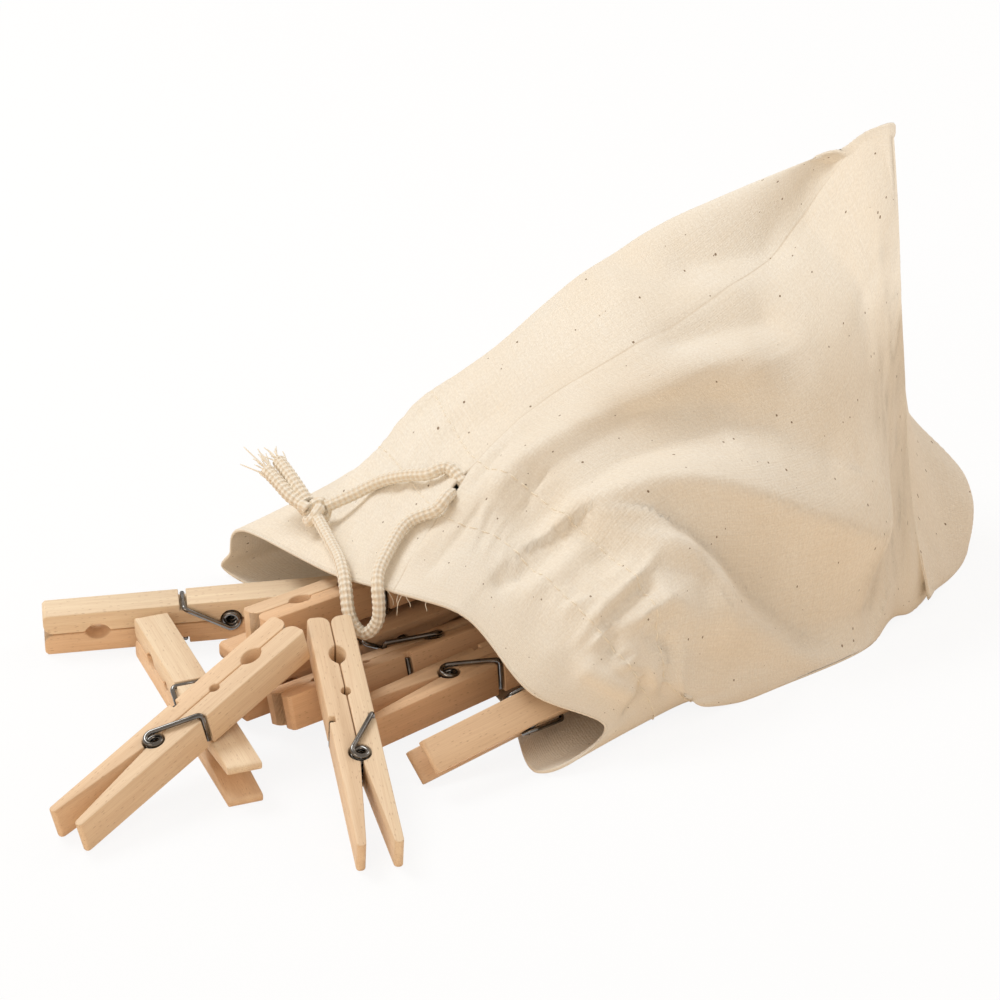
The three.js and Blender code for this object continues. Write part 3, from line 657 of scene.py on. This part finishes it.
hem_facing = add_piece("mouth_hem", mesh)
apply_modifier(hem_facing, "SOLIDIFY", thickness=HEM_THICKNESS * MM, offset=-1)
bpy.ops.object.shade_smooth()
mesh.materials.append(cotton)
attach(hem_facing, "bag")
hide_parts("hem_facing")

# The sewing. Pale thread holds the hem down in two rows of even stitches round the mouth, and a
# few loose threads hang from the turned edge.
STITCH = 2.3
STITCH_STEP = 3.1
STITCH_THREAD = 0.36
LOOSE_THREAD = 0.16
STITCH_RISE = (-0.1, 0.08, 0.13, 0.13, 0.08, -0.1)
CLEAR_OF_TABLE = 0.6
PALE_THREAD = (0.95, 0.90, 0.80, 1)
SHADED_THREAD = (0.86, 0.77, 0.62, 1)
LOOSE_SWING = 0.35
LOOSE_WAVES = 5
LOOSE_FORWARD = 0.9
LOOSE_ROOT = (1.2, 0.3)
# Share of the way round the mouth, drop and drift of each loose thread.
LOOSE_THREADS = [
    (-0.014, 7.5, -0.5), (-0.008, 4.0, 1.2), (0.004, 3.2, 0.6),
    (0.011, 5.5, -1.4), (0.019, 3.0, 0.4), (0.045, 2.6, -0.5),
]


def on_grid(row, share):
    """Place and outward direction on the draped cloth at one row and a share of the way round."""
    column = (share % 1) * CLOTH_COLUMNS
    first = int(column) % CLOTH_COLUMNS
    after = (first + 1) % CLOTH_COLUMNS
    part = column - int(column)
    return [grid[row, first] * (1 - part) + grid[row, after] * part for grid in (opened, outward)]


def tube_rings(path, radii):
    """Rings round a path without twist; radii is one row of sizes for each ring."""
    way = np.gradient(path, axis=0)
    way /= np.linalg.norm(way, axis=1, keepdims=True)
    normal = np.array([0.0, 0.0, 1.0]) if abs(way[0][2]) < 0.9 else np.array([1.0, 0.0, 0.0])
    angles = 2 * np.pi * np.arange(radii.shape[1]) / radii.shape[1]
    rings = []
    for place, ahead, sizes in zip(path, way, radii):
        normal = normal - ahead * (normal @ ahead)
        normal /= np.linalg.norm(normal)
        side = np.cross(ahead, normal)
        spokes = np.outer(np.cos(angles), normal) + np.outer(np.sin(angles), side)
        rings.append(place + spokes * sizes[:, None])
    return np.array(rings)


def tube_faces(count, sides, first=0):
    """Faces of a tube with both ends closed."""
    faces = []
    for row in range(count - 1):
        for side in range(sides):
            after = (side + 1) % sides
            here, ahead = first + row * sides, first + (row + 1) * sides
            faces.append([here + side, here + after, ahead + after, ahead + side])
    faces.append([first + side for side in reversed(range(sides))])
    faces.append([first + (count - 1) * sides + side for side in range(sides)])
    return faces


def thread_mesh(name, paths, diameter, sides, dip):
    """Short threads in one mesh, each drawn thinner towards its two ends."""
    places, faces = [], []
    for path in paths:
        path = np.array(path)
        from_middle = np.abs(np.linspace(-1, 1, len(path)))
        taper = np.sqrt(np.clip(1 - from_middle**4 * dip, 0.05, 1))
        rings = tube_rings(path, diameter / 2 * np.repeat(taper[:, None], sides, axis=1))
        faces += tube_faces(len(path), sides, len(places))
        places += rings.reshape(-1, 3).tolist()
    mesh = bpy.data.meshes.new(name)
    mesh.from_pydata(in_frame(places).tolist(), [], faces)
    return mesh


def thread_material(name, pale, shade):
    """Twisted cotton thread."""
    material, shader = new_material(name)
    place = material.node_tree.nodes.new("ShaderNodeTexCoord").outputs["Object"]
    colour = mix_colours(material, noise(material, place, 2600.0), pale, shade)
    link(material, colour, shader.inputs["Base Color"])
    shader.inputs["Roughness"].default_value = 0.8
    return material


stitches = []
all_round = np.arange(CLOTH_COLUMNS + 1) / CLOTH_COLUMNS
for stitched in CASING:
    row = int(np.argmin(abs(stations - stitched)))
    ring = np.vstack([opened[row], opened[row][:1]])
    run = np.concatenate([[0], np.cumsum(np.linalg.norm(np.diff(ring, axis=0), axis=1))])
    for start in np.arange(0, run[-1] - STITCH_STEP, STITCH_STEP):
        steps = start + STITCH * np.linspace(0, 1, len(STITCH_RISE))
        path = []
        for share, rise in zip(np.interp(steps, run, all_round), STITCH_RISE):
            place, out = on_grid(row, share)
            path.append(place + out * rise)
        if path[2][2] > CLEAR_OF_TABLE:
            stitches.append(path)
sewing = add_piece("hem_stitches", thread_mesh("hem_stitches", stitches, STITCH_THREAD, 6, 0.6))
bpy.ops.object.shade_smooth()
sewing_thread = thread_material("sewing_thread", PALE_THREAD, SHADED_THREAD)
sewing.data.materials.append(sewing_thread)
loose = []
for share, drop, drift in LOOSE_THREADS:
    place, out = on_grid(CLOTH_ROWS, share)
    down = np.linspace(0, 1, 7)
    swing = np.sin(down * LOOSE_WAVES + share * 200) * LOOSE_SWING
    hanging = place + np.stack([drift * down**1.5 + swing, -LOOSE_FORWARD * down, -drop * down], axis=1)
    root = place - edge_way[int(share * CLOTH_COLUMNS)] * LOOSE_ROOT[0] - out * LOOSE_ROOT[1]
    loose.append(np.vstack([[root], hanging]))
frayed = add_piece("mouth_threads", thread_mesh("mouth_threads", loose, LOOSE_THREAD, 5, 0.3))
bpy.ops.object.shade_smooth()
frayed.data.materials.append(sewing_thread)
for piece in (sewing, frayed):
    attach(piece, "bag")

# The drawstring. One braided cotton cord runs round the casing and comes out through the gap in
# the side seam. One end goes straight to the knot, the other hangs over the mouth as a loop.
# Drawn out of the casing, the braid is a little thinner than inside it, and thinner still in the knot.
CORD = 3.4
DRAWN_CORD = 3.1
KNOTTED_CORD = 2.9
CORD_SIDES = 24
CORD_STEP = 0.3
CORD_EASING = 120
BRAID_PITCH = 2.8
BRAID_STRANDS = 4
BRAID_RIDGE = 0.09
BRAID_GROUND = 0.93
# The hollows' colour is painted shade between the strands; the crests are the cord's own cream.
CORD_HOLLOW_SHADE = (0.83, 0.70, 0.53, 1)
CORD_CREST = (0.945, 0.885, 0.77, 1)
CASING_AT = 146
CASING_SHEET = 0.8
CASING_ROOM = 1.6
IN_CASING = -(CASING_SHEET + CASING_ROOM / 2 + CORD / 2)
OFF_THE_CLOTH = 0.9
ON_CLOTH = CORD / 2 + OFF_THE_CLOTH
KNOT = 8.4
KNOT_GRIP = 1
KNOT_OPENING = 0.3
KNOT_DEPTH = 1.5
KNOT_PLACE = off_cloth(172, -0.132, KNOT / 2 + 0.3)
STRAND_ROUTE = [
    (146, 0.0382, IN_CASING), (146, 0.032, IN_CASING), (144.8, 0.021, IN_CASING), (143.6, 0, -0.2),
    (144.4, -0.018, ON_CLOTH), (149, -0.026, ON_CLOTH), (152, -0.038, ON_CLOTH), (156, -0.056, ON_CLOTH),
    (160, -0.077, ON_CLOTH), (164, -0.1, ON_CLOTH),
]
LOOP_START = [
    (146, -0.0382, IN_CASING), (146, -0.032, IN_CASING), (146.4, -0.02, IN_CASING), (147.2, -0.008, -1.4),
    (148.6, 0.002, 1.6), (151.6, 0.0075, ON_CLOTH + 1), (155, 0.003, ON_CLOTH), (158.5, -0.01, ON_CLOTH),
    (163, -0.022, ON_CLOTH), (172, -0.024, ON_CLOTH), (179, -0.023, ON_CLOTH),
]
LOOP_EDGE = -0.028
LOOP_HANG = [
    [0.4, -3.2, 1.2], [0.8, -4.8, -3.2], [0.4, -5, -7],
    [-2.8, -4, -11], [-6.0, -2.2, -7.6], [-6.8, 0.8, -2.2],
]
LOOP_FINISH = [(181, -0.076, ON_CLOTH + 0.3), (177, -0.095, ON_CLOTH)]
TAILS = {
    "a": [[-3.4, 5.6, 2.6], [-6.2, 10.5, 4.4], [-8.8, 15.5, 5.2]],
    "b": [[-5.4, 4.2, 1.6], [-8.6, 8.6, 3.2], [-11.6, 13.0, 4.2]],
}
TUFT_THREADS = 16
TUFT_THREAD = 0.36
TUFT_REACH = (3.2, 6.0)
TUFT_ROOT = 1.5
TUFT_SPREAD = 0.7
TUFT_LEAN = 0.28
TUFT_CURL = 0.9


def on_bag(route):
    return [off_cloth(*place) for place in route]


def at_knot(place):
    way = place - KNOT_PLACE
    return KNOT_PLACE + way / np.linalg.norm(way) * (KNOT / 2 - KNOT_GRIP)


def even_path(points, step):
    """A smooth curve through the points, in even steps. Close points bend it no more than far ones."""
    points = np.array(points, float)
    points = np.vstack([2 * points[0] - points[1], points, 2 * points[-1] - points[-2]])
    fine = []
    for before, start, end, after in zip(points, points[1:], points[2:], points[3:]):
        gaps = np.sqrt(np.linalg.norm(np.diff([before, start, end, after], axis=0), axis=1))
        leave = (start - before) / gaps[0] - (end - before) / (gaps[0] + gaps[1]) + (end - start) / gaps[1]
        arrive = (end - start) / gaps[1] - (after - start) / (gaps[1] + gaps[2]) + (after - end) / gaps[2]
        pulled_before = end - 2 * leave * gaps[1]
        pulled_after = start + 2 * arrive * gaps[1]
        share = np.linspace(0, 1, 24, endpoint=False)
        fine.append(smooth_between(pulled_before, start, end, pulled_after, share))
    fine = np.vstack([*fine, points[-2:-1]])
    for _ in range(CORD_EASING):
        fine[1:-1] = (fine[:-2] + 2 * fine[1:-1] + fine[2:]) / 4
    run = np.concatenate([[0], np.cumsum(np.linalg.norm(np.diff(fine, axis=0), axis=1))])
    even = np.linspace(0, run[-1], max(int(round(run[-1] / step)), 2) + 1)
    return np.stack([np.interp(even, run, fine[:, axis]) for axis in range(3)], axis=1), run[-1]


def unroll_tube(mesh, count, sides, width, length):
    """Lays the tube's skin flat in millimetres as its UV map; the closed ends follow their rims."""
    flat = []
    for row in range(count - 1):
        for side in range(sides):
            flat += [(side, row), (side + 1, row), (side + 1, row + 1), (side, row + 1)]
    flat += [(side, 0) for side in reversed(range(sides))]
    flat += [(side, count - 1) for side in range(sides)]
    layer = mesh.uv_layers.new(name="flat_pattern")
    flat = np.array(flat, float) * [width / sides, length / (count - 1)]
    layer.uv.foreach_set("vector", flat.ravel().astype(np.float32))


def braided_cord(name, points, diameter):
    """A braided cord along a route: its strands stand out as small crossing ridges."""
    path, length = even_path(points, CORD_STEP)
    along = np.arange(len(path)) * length / (len(path) - 1)
    around = 2 * np.pi * np.arange(CORD_SIDES) / CORD_SIDES
    lay = 2 * np.pi * along[:, None] / BRAID_PITCH
    ridges = np.cos(BRAID_STRANDS * around + lay) * np.cos(BRAID_STRANDS * around - lay)
    rings = tube_rings(path, diameter / 2 * (BRAID_GROUND + BRAID_RIDGE * ridges))
    mesh = bpy.data.meshes.new(name)
    mesh.from_pydata(in_frame(rings.reshape(-1, 3)).tolist(), [], tube_faces(len(path), CORD_SIDES))
    unroll_tube(mesh, len(path), CORD_SIDES, np.pi * diameter, length)
    piece = add_piece(name, mesh)
    bpy.ops.object.shade_smooth()
    return piece, in_frame(path), length * MM


cord_cotton, cord_shader = new_material("braided_cotton")
cord_flat = cord_cotton.node_tree.nodes.new("ShaderNodeUVMap")
cord_flat.uv_map = "flat_pattern"
cord_ways = add_node(cord_cotton, "ShaderNodeSeparateXYZ")
link(cord_cotton, cord_flat.outputs["UV"], cord_ways.inputs["Vector"])
cord_turn = calculate(cord_cotton, "MULTIPLY", cord_ways.outputs["X"], 2 * BRAID_STRANDS / DRAWN_CORD)
cord_lay = calculate(cord_cotton, "MULTIPLY", cord_ways.outputs["Y"], 2 * math.pi / BRAID_PITCH)
one_way = calculate(cord_cotton, "COSINE", calculate(cord_cotton, "ADD", cord_turn, cord_lay))
other_way = calculate(cord_cotton, "COSINE", calculate(cord_cotton, "SUBTRACT", cord_turn, cord_lay))
strands = calculate(cord_cotton, "MULTIPLY", one_way, other_way)
yarns = noise(cord_cotton, stretched(cord_cotton, cord_flat.outputs["UV"], (3.0, 3.0, 1)), 1.0, 3.0)
strands = calculate(cord_cotton, "ADD", strands, calculate(cord_cotton, "MULTIPLY", yarns, 0.9))
# Painted shade in the hollows between the braid's strands; the yarn noise is the cord's own uneven tone.
braid_shade_and_yarn_tone = spread(cord_cotton, strands, -0.5, 1.0)
cord_colour = mix_colours(cord_cotton, braid_shade_and_yarn_tone, CORD_HOLLOW_SHADE, CORD_CREST)
link(cord_cotton, cord_colour, cord_shader.inputs["Base Color"])
cord_shader.inputs["Roughness"].default_value = 0.9
cord_shader.inputs["Sheen Weight"].default_value = 0.2
raise_surface(cord_cotton, cord_shader, strands, 0.6, 0.0003)

strand_points = on_bag(STRAND_ROUTE)
strand_points.append(at_knot(strand_points[-1]))
loop_points = on_bag(LOOP_START)
loop_edge = cloth_place(BAG_LENGTH, LOOP_EDGE)
loop_points += [loop_edge + np.array(offset) for offset in LOOP_HANG]
loop_points += on_bag(LOOP_FINISH)
loop_points.append(at_knot(loop_points[-1]))
casing_row = int(np.argmin(abs(stations - CASING_AT)))
casing_points = []
for share in np.linspace(2 / CAD_COLUMNS, 1 - 2 / CAD_COLUMNS, CAD_COLUMNS - 3):
    place, out = on_grid(casing_row, share)
    casing_points.append(place + out * IN_CASING)
strand, strand_path, strand_length = braided_cord("drawstring_short_end", strand_points, DRAWN_CORD)
loop, loop_path, loop_length = braided_cord("drawstring_hanging_loop", loop_points, DRAWN_CORD)
casing_cord = braided_cord("drawstring_round_mouth", casing_points, CORD)[0]
tails = []
for label, offsets in TAILS.items():
    places = [KNOT_PLACE + np.array(offset) for offset in offsets]
    tails.append(braided_cord(f"drawstring_tail_{label}", [at_knot(places[0]), *places], CORD)[0])

# Both ends fray into a tuft of single threads.
tuft_rng = np.random.default_rng(3)
tuft = []
for offsets in TAILS.values():
    end = KNOT_PLACE + np.array(offsets[-1])
    way = np.array(offsets[-1]) - np.array(offsets[-2])
    way /= np.linalg.norm(way)
    for _ in range(TUFT_THREADS):
        root = end + tuft_rng.normal(size=3) * TUFT_SPREAD - way * TUFT_ROOT
        lean = way + tuft_rng.normal(size=3) * TUFT_LEAN
        curl = tuft_rng.normal(size=3) * TUFT_CURL
        reach = np.linspace(0, tuft_rng.uniform(*TUFT_REACH), 7)[:, None]
        tuft.append(root + lean * reach + curl * (reach / TUFT_REACH[1]) ** 2)
mesh = thread_mesh("drawstring_frayed_ends", tuft, TUFT_THREAD, 5, 0.5)
tufts = add_piece("drawstring_frayed_ends", mesh)
bpy.ops.object.shade_smooth()
tufts.data.materials.append(sewing_thread)
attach(tufts, "bag")

# The knot is a single overhand turn of the doubled cord.
turns = np.linspace(KNOT_OPENING, 2 * np.pi - KNOT_OPENING, 40)
knot_across = np.sin(turns) + 2 * np.sin(2 * turns)
knot_along = np.cos(turns) - 2 * np.cos(2 * turns)
knot_points = np.stack([knot_across, knot_along, -KNOT_DEPTH * np.sin(3 * turns)], axis=1)
knot = braided_cord("drawstring_overhand_knot", KNOT_PLACE + knot_points, KNOTTED_CORD)[0]
for piece, node in (
    (strand, "strand"), (loop, "loop"), (casing_cord, "in_casing"),
    (knot, "knot"), (tails[0], "end_a"), (tails[1], "end_b"),
):
    piece.data.materials.append(cord_cotton)
    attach(piece, "bag")
    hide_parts(f"drawstring_{node}")

# The pegs' wooden halves. Each is sawn from beech with its edges eased, notched for the line and
# grooved for the spring, and two lie face to face in every peg.
# Each peg's heading on the table, the tilt of its jaw and its roll about its own length, in degrees.
PEG_TURNS = {
    "peg_01": (7, 1.8, 0), "peg_02": (-69, 0, 0), "peg_03": (227.5, -15.5, 90), "peg_04": (37, 0, 0),
    "peg_05": (37, 0, 84), "peg_06": (37, 0, 0), "peg_07": (37, 0, 74), "peg_08": (-79, -13.6, 90),
    "peg_09": (217, -3.6, 90), "peg_10": (217, -6, -45),
}
JAW_TO_HINGE = 44
HINGE_TO_TAIL = 28
OUTER_FACE = 5.15
INNER_FACE = 0.15
EASED_EDGE = 0.25
MERGE_WITHIN = 0.001
FLAT_WITHIN = math.radians(0.5)
SHARP_OVER = math.radians(35)
SMOOTH_UNDER = math.radians(30)


def peg_turn(peg):
    heading, tilt, roll = (math.radians(angle) for angle in PEG_TURNS[peg])
    turn = Matrix.Rotation(heading, 3, "Z") @ Matrix.Rotation(-tilt, 3, "Y") @ Matrix.Rotation(roll, 3, "X")
    return np.array(turn)


def peg_hinge(peg):
    """Where the peg's spring axis lies, from its upper half."""
    turn = peg_turn(peg)
    places = np.array([v.co for v in frame["nodes"][f"{peg}_upper_half"].data.vertices]) @ turn
    middle = (places.min(axis=0) + places.max(axis=0)) / 2
    own = np.array([(HINGE_TO_TAIL - JAW_TO_HINGE) / 2, 0, (INNER_FACE + OUTER_FACE) / 2]) * MM
    return turn @ (middle - own)


PALE_BEECH = (0.90, 0.765, 0.565, 1)
PINK_BEECH = (0.86, 0.56, 0.335, 1)
GRAIN_BROWN = (0.50, 0.27, 0.13, 1)
FLECK_BROWN = (0.33, 0.155, 0.06, 1)
BAND_STRETCH = (0.012, 0.42, 0.3)
FIBRE_STRETCH = (0.10, 4.5, 4.5)
FLECK_STRETCH = (0.6, 3.0, 3.0)


def beech_material(name, turn, hinge, tone, start):
    """Straight-grained beech with its short dark flecks, running along one peg half."""
    material, shader = new_material(name)
    place = material.node_tree.nodes.new("ShaderNodeTexCoord")
    along_peg = add_node(material, "ShaderNodeMapping", Scale=(1 / MM, 1 / MM, 1 / MM))
    along_peg.inputs["Rotation"].default_value = Matrix(turn.T).to_euler()
    along_peg.inputs["Location"].default_value = Vector(-(turn.T @ hinge) / MM) + Vector(start)
    link(material, place.outputs["Object"], along_peg.inputs["Vector"])
    wood = along_peg.outputs["Vector"]
    bands = noise(material, stretched(material, wood, BAND_STRETCH), 1.0, 3.0)
    fibres = noise(material, stretched(material, wood, FIBRE_STRETCH), 1.0, 3.0, 0.6)
    cells = add_node(material, "ShaderNodeTexVoronoi", Scale=1.0)
    away, size = scattered(material, cells, stretched(material, wood, FLECK_STRETCH), 0.3, 0.34)
    flecks = spread(material, calculate(material, "SUBTRACT", size, away), 0.0, 0.10)
    colour = mix_colours(material, tone, PALE_BEECH, PINK_BEECH)
    colour = tint(material, colour, spread(material, bands, 0.3, 0.72), 0.26, GRAIN_BROWN)
    colour = mix_colours(material, spread(material, fibres, 0.45, 0.8, 0.0, 0.34), colour, GRAIN_BROWN)
    colour = tint(material, colour, flecks, 0.40, FLECK_BROWN)
    link(material, colour, shader.inputs["Base Color"])
    link(material, spread(material, fibres, 0.3, 0.7, 0.52, 0.68), shader.inputs["Roughness"])
    shader.inputs["Specular IOR Level"].default_value = 0.35
    raise_surface(material, shader, calculate(material, "SUBTRACT", fibres, flecks), 0.25, 0.0001)
    return material


# How pink each half's wood is, lower half first.
PEG_TONES = {
    "peg_01": (0.6, 0.1), "peg_02": (0.55, 0.15), "peg_03": (0.3, 0.5), "peg_04": (1.0, 0.8),
    "peg_05": (0.5, 0.9), "peg_06": (0.9, 0.8), "peg_07": (0.7, 0.9), "peg_08": (0.2, 0.35),
    "peg_09": (0.9, 0.8), "peg_10": (0.6, 0.55),
}
PLANK_STEP = (97.0, 13.0, 29.0)
bodies = frame["record"]["behaviour"]["bodies"]
body_of_node = {node: body for body, nodes in bodies.items() for node in nodes}
for peg in PEG_TURNS:
    turn, hinge = peg_turn(peg), peg_hinge(peg)
    for side, tone in zip(("lower", "upper"), PEG_TONES[peg]):
        node = f"{peg}_{side}_half"
        half = add_piece(f"{peg}_{side}_wood", frame["nodes"][node].data.copy())
        bpy.ops.object.mode_set(mode="EDIT")
        bpy.ops.mesh.select_all(action="SELECT")
        bpy.ops.mesh.remove_doubles(threshold=MERGE_WITHIN * MM)
        bpy.ops.mesh.dissolve_limited(angle_limit=FLAT_WITHIN)
        bpy.ops.mesh.select_all(action="DESELECT")
        bpy.ops.mesh.edges_select_sharp(sharpness=SHARP_OVER)
        bpy.ops.mesh.bevel(offset=EASED_EDGE * MM, segments=2, affect="EDGES")
        bpy.ops.object.mode_set(mode="OBJECT")
        bpy.ops.object.shade_smooth_by_angle(angle=SMOOTH_UNDER)
        half.data.materials.clear()
        start = [step * len(bpy.data.materials) for step in PLANK_STEP]
        half.data.materials.append(beech_material(f"beech_{peg}_{side}", turn, hinge, tone, start))
        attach(half, body_of_node[node])
        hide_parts(node)

# The springs. A length of bright steel wire is wound into a coil that lies in the seats of both
# halves. Its arms cross, run up beside the wood and hook over into the outer grooves.
WIRE = 1.2
WIRE_SIDES = 10
WIRE_BEND = 1.2
WIRE_END_INSET = 1.2
WIRE_CLEARANCE = 0.3
COIL_RADIUS = 1.7
COIL_TURNS = 5
COIL_STEPS = 24
JAW_TO_GROOVE = 33
PEG_HALF_WIDTH = 4
BRIGHT_WIRE = (0.25, 0.24, 0.23, 1)
TARNISHED_WIRE = (0.12, 0.11, 0.10, 1)
GROOVE_X = JAW_TO_GROOVE - JAW_TO_HINGE
CROSSING_Z = OUTER_FACE - WIRE / 2
ARM_Y = PEG_HALF_WIDTH + WIRE_CLEARANCE + WIRE / 2
reach = math.hypot(GROOVE_X, CROSSING_Z)
coil_start = math.atan2(CROSSING_Z, GROOVE_X) + math.acos(COIL_RADIUS / reach)
coil_end = 2 * math.pi * (COIL_TURNS + 2) - coil_start
coil_angles = np.linspace(coil_start, coil_end, COIL_STEPS * (COIL_TURNS + 1))
coil_across = np.linspace(-ARM_Y, ARM_Y, len(coil_angles))
coil = np.stack([COIL_RADIUS * np.cos(coil_angles), coil_across, COIL_RADIUS * np.sin(coil_angles)], axis=1)
hook = np.array([GROOVE_X, -ARM_Y, CROSSING_Z])
arm_way = (coil[0] - hook) / np.linalg.norm(coil[0] - hook)
bend_in = hook + [0, WIRE_BEND, 0]
bend_out = hook + arm_way * WIRE_BEND
part = np.linspace(0, 1, 7)[:, None]
bend = bend_in * (1 - part) ** 2 + hook * 2 * part * (1 - part) + bend_out * part**2
arm = np.vstack([[[GROOVE_X, PEG_HALF_WIDTH - WIRE_END_INSET, CROSSING_Z]], bend])
wire_path = np.vstack([arm, coil, (arm * [1, -1, -1])[::-1]])
wire_rings = tube_rings(wire_path, np.full((len(wire_path), WIRE_SIDES), WIRE / 2))

steel, steel_shader = new_material("bright_spring_wire")
steel_place = steel.node_tree.nodes.new("ShaderNodeTexCoord").outputs["Object"]
drawn = noise(steel, steel_place, 900.0, 2.0)
tarnish = spread(steel, noise(steel, steel_place, 160.0, 3.0), 0.4, 0.7)
steel_colour = mix_colours(steel, tarnish, BRIGHT_WIRE, TARNISHED_WIRE)
link(steel, steel_colour, steel_shader.inputs["Base Color"])
steel_shader.inputs["Metallic"].default_value = 1
link(steel, spread(steel, drawn, 0.3, 0.7, 0.12, 0.28), steel_shader.inputs["Roughness"])

for peg in PEG_TURNS:
    turn, hinge = peg_turn(peg), peg_hinge(peg)
    mesh = bpy.data.meshes.new(f"{peg}_wire")
    places = (wire_rings.reshape(-1, 3) * MM) @ turn.T + hinge
    mesh.from_pydata(places.tolist(), [], tube_faces(len(wire_path), WIRE_SIDES))
    spring = add_piece(f"{peg}_wire", mesh)
    bpy.ops.object.shade_smooth()
    mesh.materials.append(steel)
    lower_body = body_of_node[f"{peg}_lower_half"]
    upper_body = body_of_node[f"{peg}_upper_half"]
    if lower_body == upper_body:
        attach(spring, upper_body)
    else:
        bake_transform(spring)
    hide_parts(f"{peg}_spring")

# The table. A smooth white top lies under the bag and takes its soft shadow. To the eye it is white,
# while the light that it throws back up on the cloth is warm.
TABLE_WARM = ((0.92, 0.77, 0.61, 1), (0.94, 0.80, 0.64, 1))
TABLE_WHITE = ((0.93, 0.93, 0.93, 1), (0.95, 0.95, 0.95, 1))
TABLE_GLOW = 0.88
bpy.ops.mesh.primitive_plane_add(size=6, location=(0, 0, 0))
table = bpy.context.object
table.name = "table"
table_paint, table_shader = new_material("pale_table")
table_place = table_paint.node_tree.nodes.new("ShaderNodeTexCoord").outputs["Object"]
table_grain = noise(table_paint, table_place, 40.0, 4.0)
rays = table_paint.node_tree.nodes.new("ShaderNodeLightPath").outputs
seen = calculate(table_paint, "MAXIMUM", rays["Is Camera Ray"], rays["Is Glossy Ray"])
seen = calculate(table_paint, "MAXIMUM", seen, rays["Is Transmission Ray"])
table_warm = mix_colours(table_paint, table_grain, *TABLE_WARM)
table_white = mix_colours(table_paint, table_grain, *TABLE_WHITE)
table_colour = mix_colours(table_paint, seen, table_warm, table_white)
link(table_paint, table_colour, table_shader.inputs["Base Color"])
table_shader.inputs["Roughness"].default_value = 0.9
paper = add_node(table_paint, "ShaderNodeEmission", Color=(1, 1, 1, 1), Strength=1.0)
white_mix = table_paint.node_tree.nodes.new("ShaderNodeMixShader")
link(table_paint, calculate(table_paint, "MULTIPLY", seen, TABLE_GLOW), white_mix.inputs[0])
link(table_paint, table_shader.outputs["BSDF"], white_mix.inputs[1])
link(table_paint, paper.outputs["Emission"], white_mix.inputs[2])
table_out = table_paint.node_tree.nodes["Material Output"]
link(table_paint, white_mix.outputs["Shader"], table_out.inputs["Surface"])
table.data.materials.append(table_paint)

# The light. A warm room lights the bag from all round, a cool lamp hangs over it to the left, a warm
# one stands low in front and a weak one behind.
ROOM_LIGHT = (1, 0.88, 0.76, 1)
ROOM_STRENGTH = 0.58
world = bpy.data.worlds.new("studio")
bpy.context.scene.world = world
world.use_nodes = True
sky = world.node_tree.nodes["Background"]
sky.inputs["Color"].default_value = ROOM_LIGHT
sky.inputs["Strength"].default_value = ROOM_STRENGTH


def add_lamp(name, place, size, watts, aim, colour):
    bpy.ops.object.light_add(type="AREA", location=place)
    lamp = bpy.context.object
    lamp.name = name
    lamp.data.size = size
    lamp.data.energy = watts
    lamp.data.color = colour
    lamp.rotation_euler = (Vector(aim) - Vector(place)).to_track_quat("-Z", "Y").to_euler()


add_lamp("overhead", (-0.5, 0.3, 0.85), 0.45, 4.6, (0, 0.02, 0.02), (0.94, 0.98, 1))
add_lamp("front_fill", (-0.7, -1.1, 0.6), 0.8, 3.8, (0, 0, 0.03), (1, 0.84, 0.68))
add_lamp("back_fill", (0.7, 0.5, 0.6), 0.5, 1.6, (0.08, 0.03, 0.02), (1, 1, 1))

# The camera. It looks at the bag from the front and a little above, from far enough away that near
# and far pegs show at nearly the same size.
CAMERA_AIM = in_frame([0, 0, 20])
ELEVATION = math.radians(28)
DISTANCE = 1.0
LENS = 149.4
SENSOR = 36
bpy.ops.object.camera_add()
camera = bpy.context.object
camera.data.lens = LENS
camera.data.sensor_width = SENSOR
camera.data.clip_start = 0.01
back = Vector((0, -math.cos(ELEVATION), math.sin(ELEVATION)))
camera.location = Vector(CAMERA_AIM) + back * DISTANCE
camera.rotation_euler = back.to_track_quat("Z", "Y").to_euler()
bpy.context.scene.camera = camera
bpy.context.scene.view_settings.view_transform = "Standard"
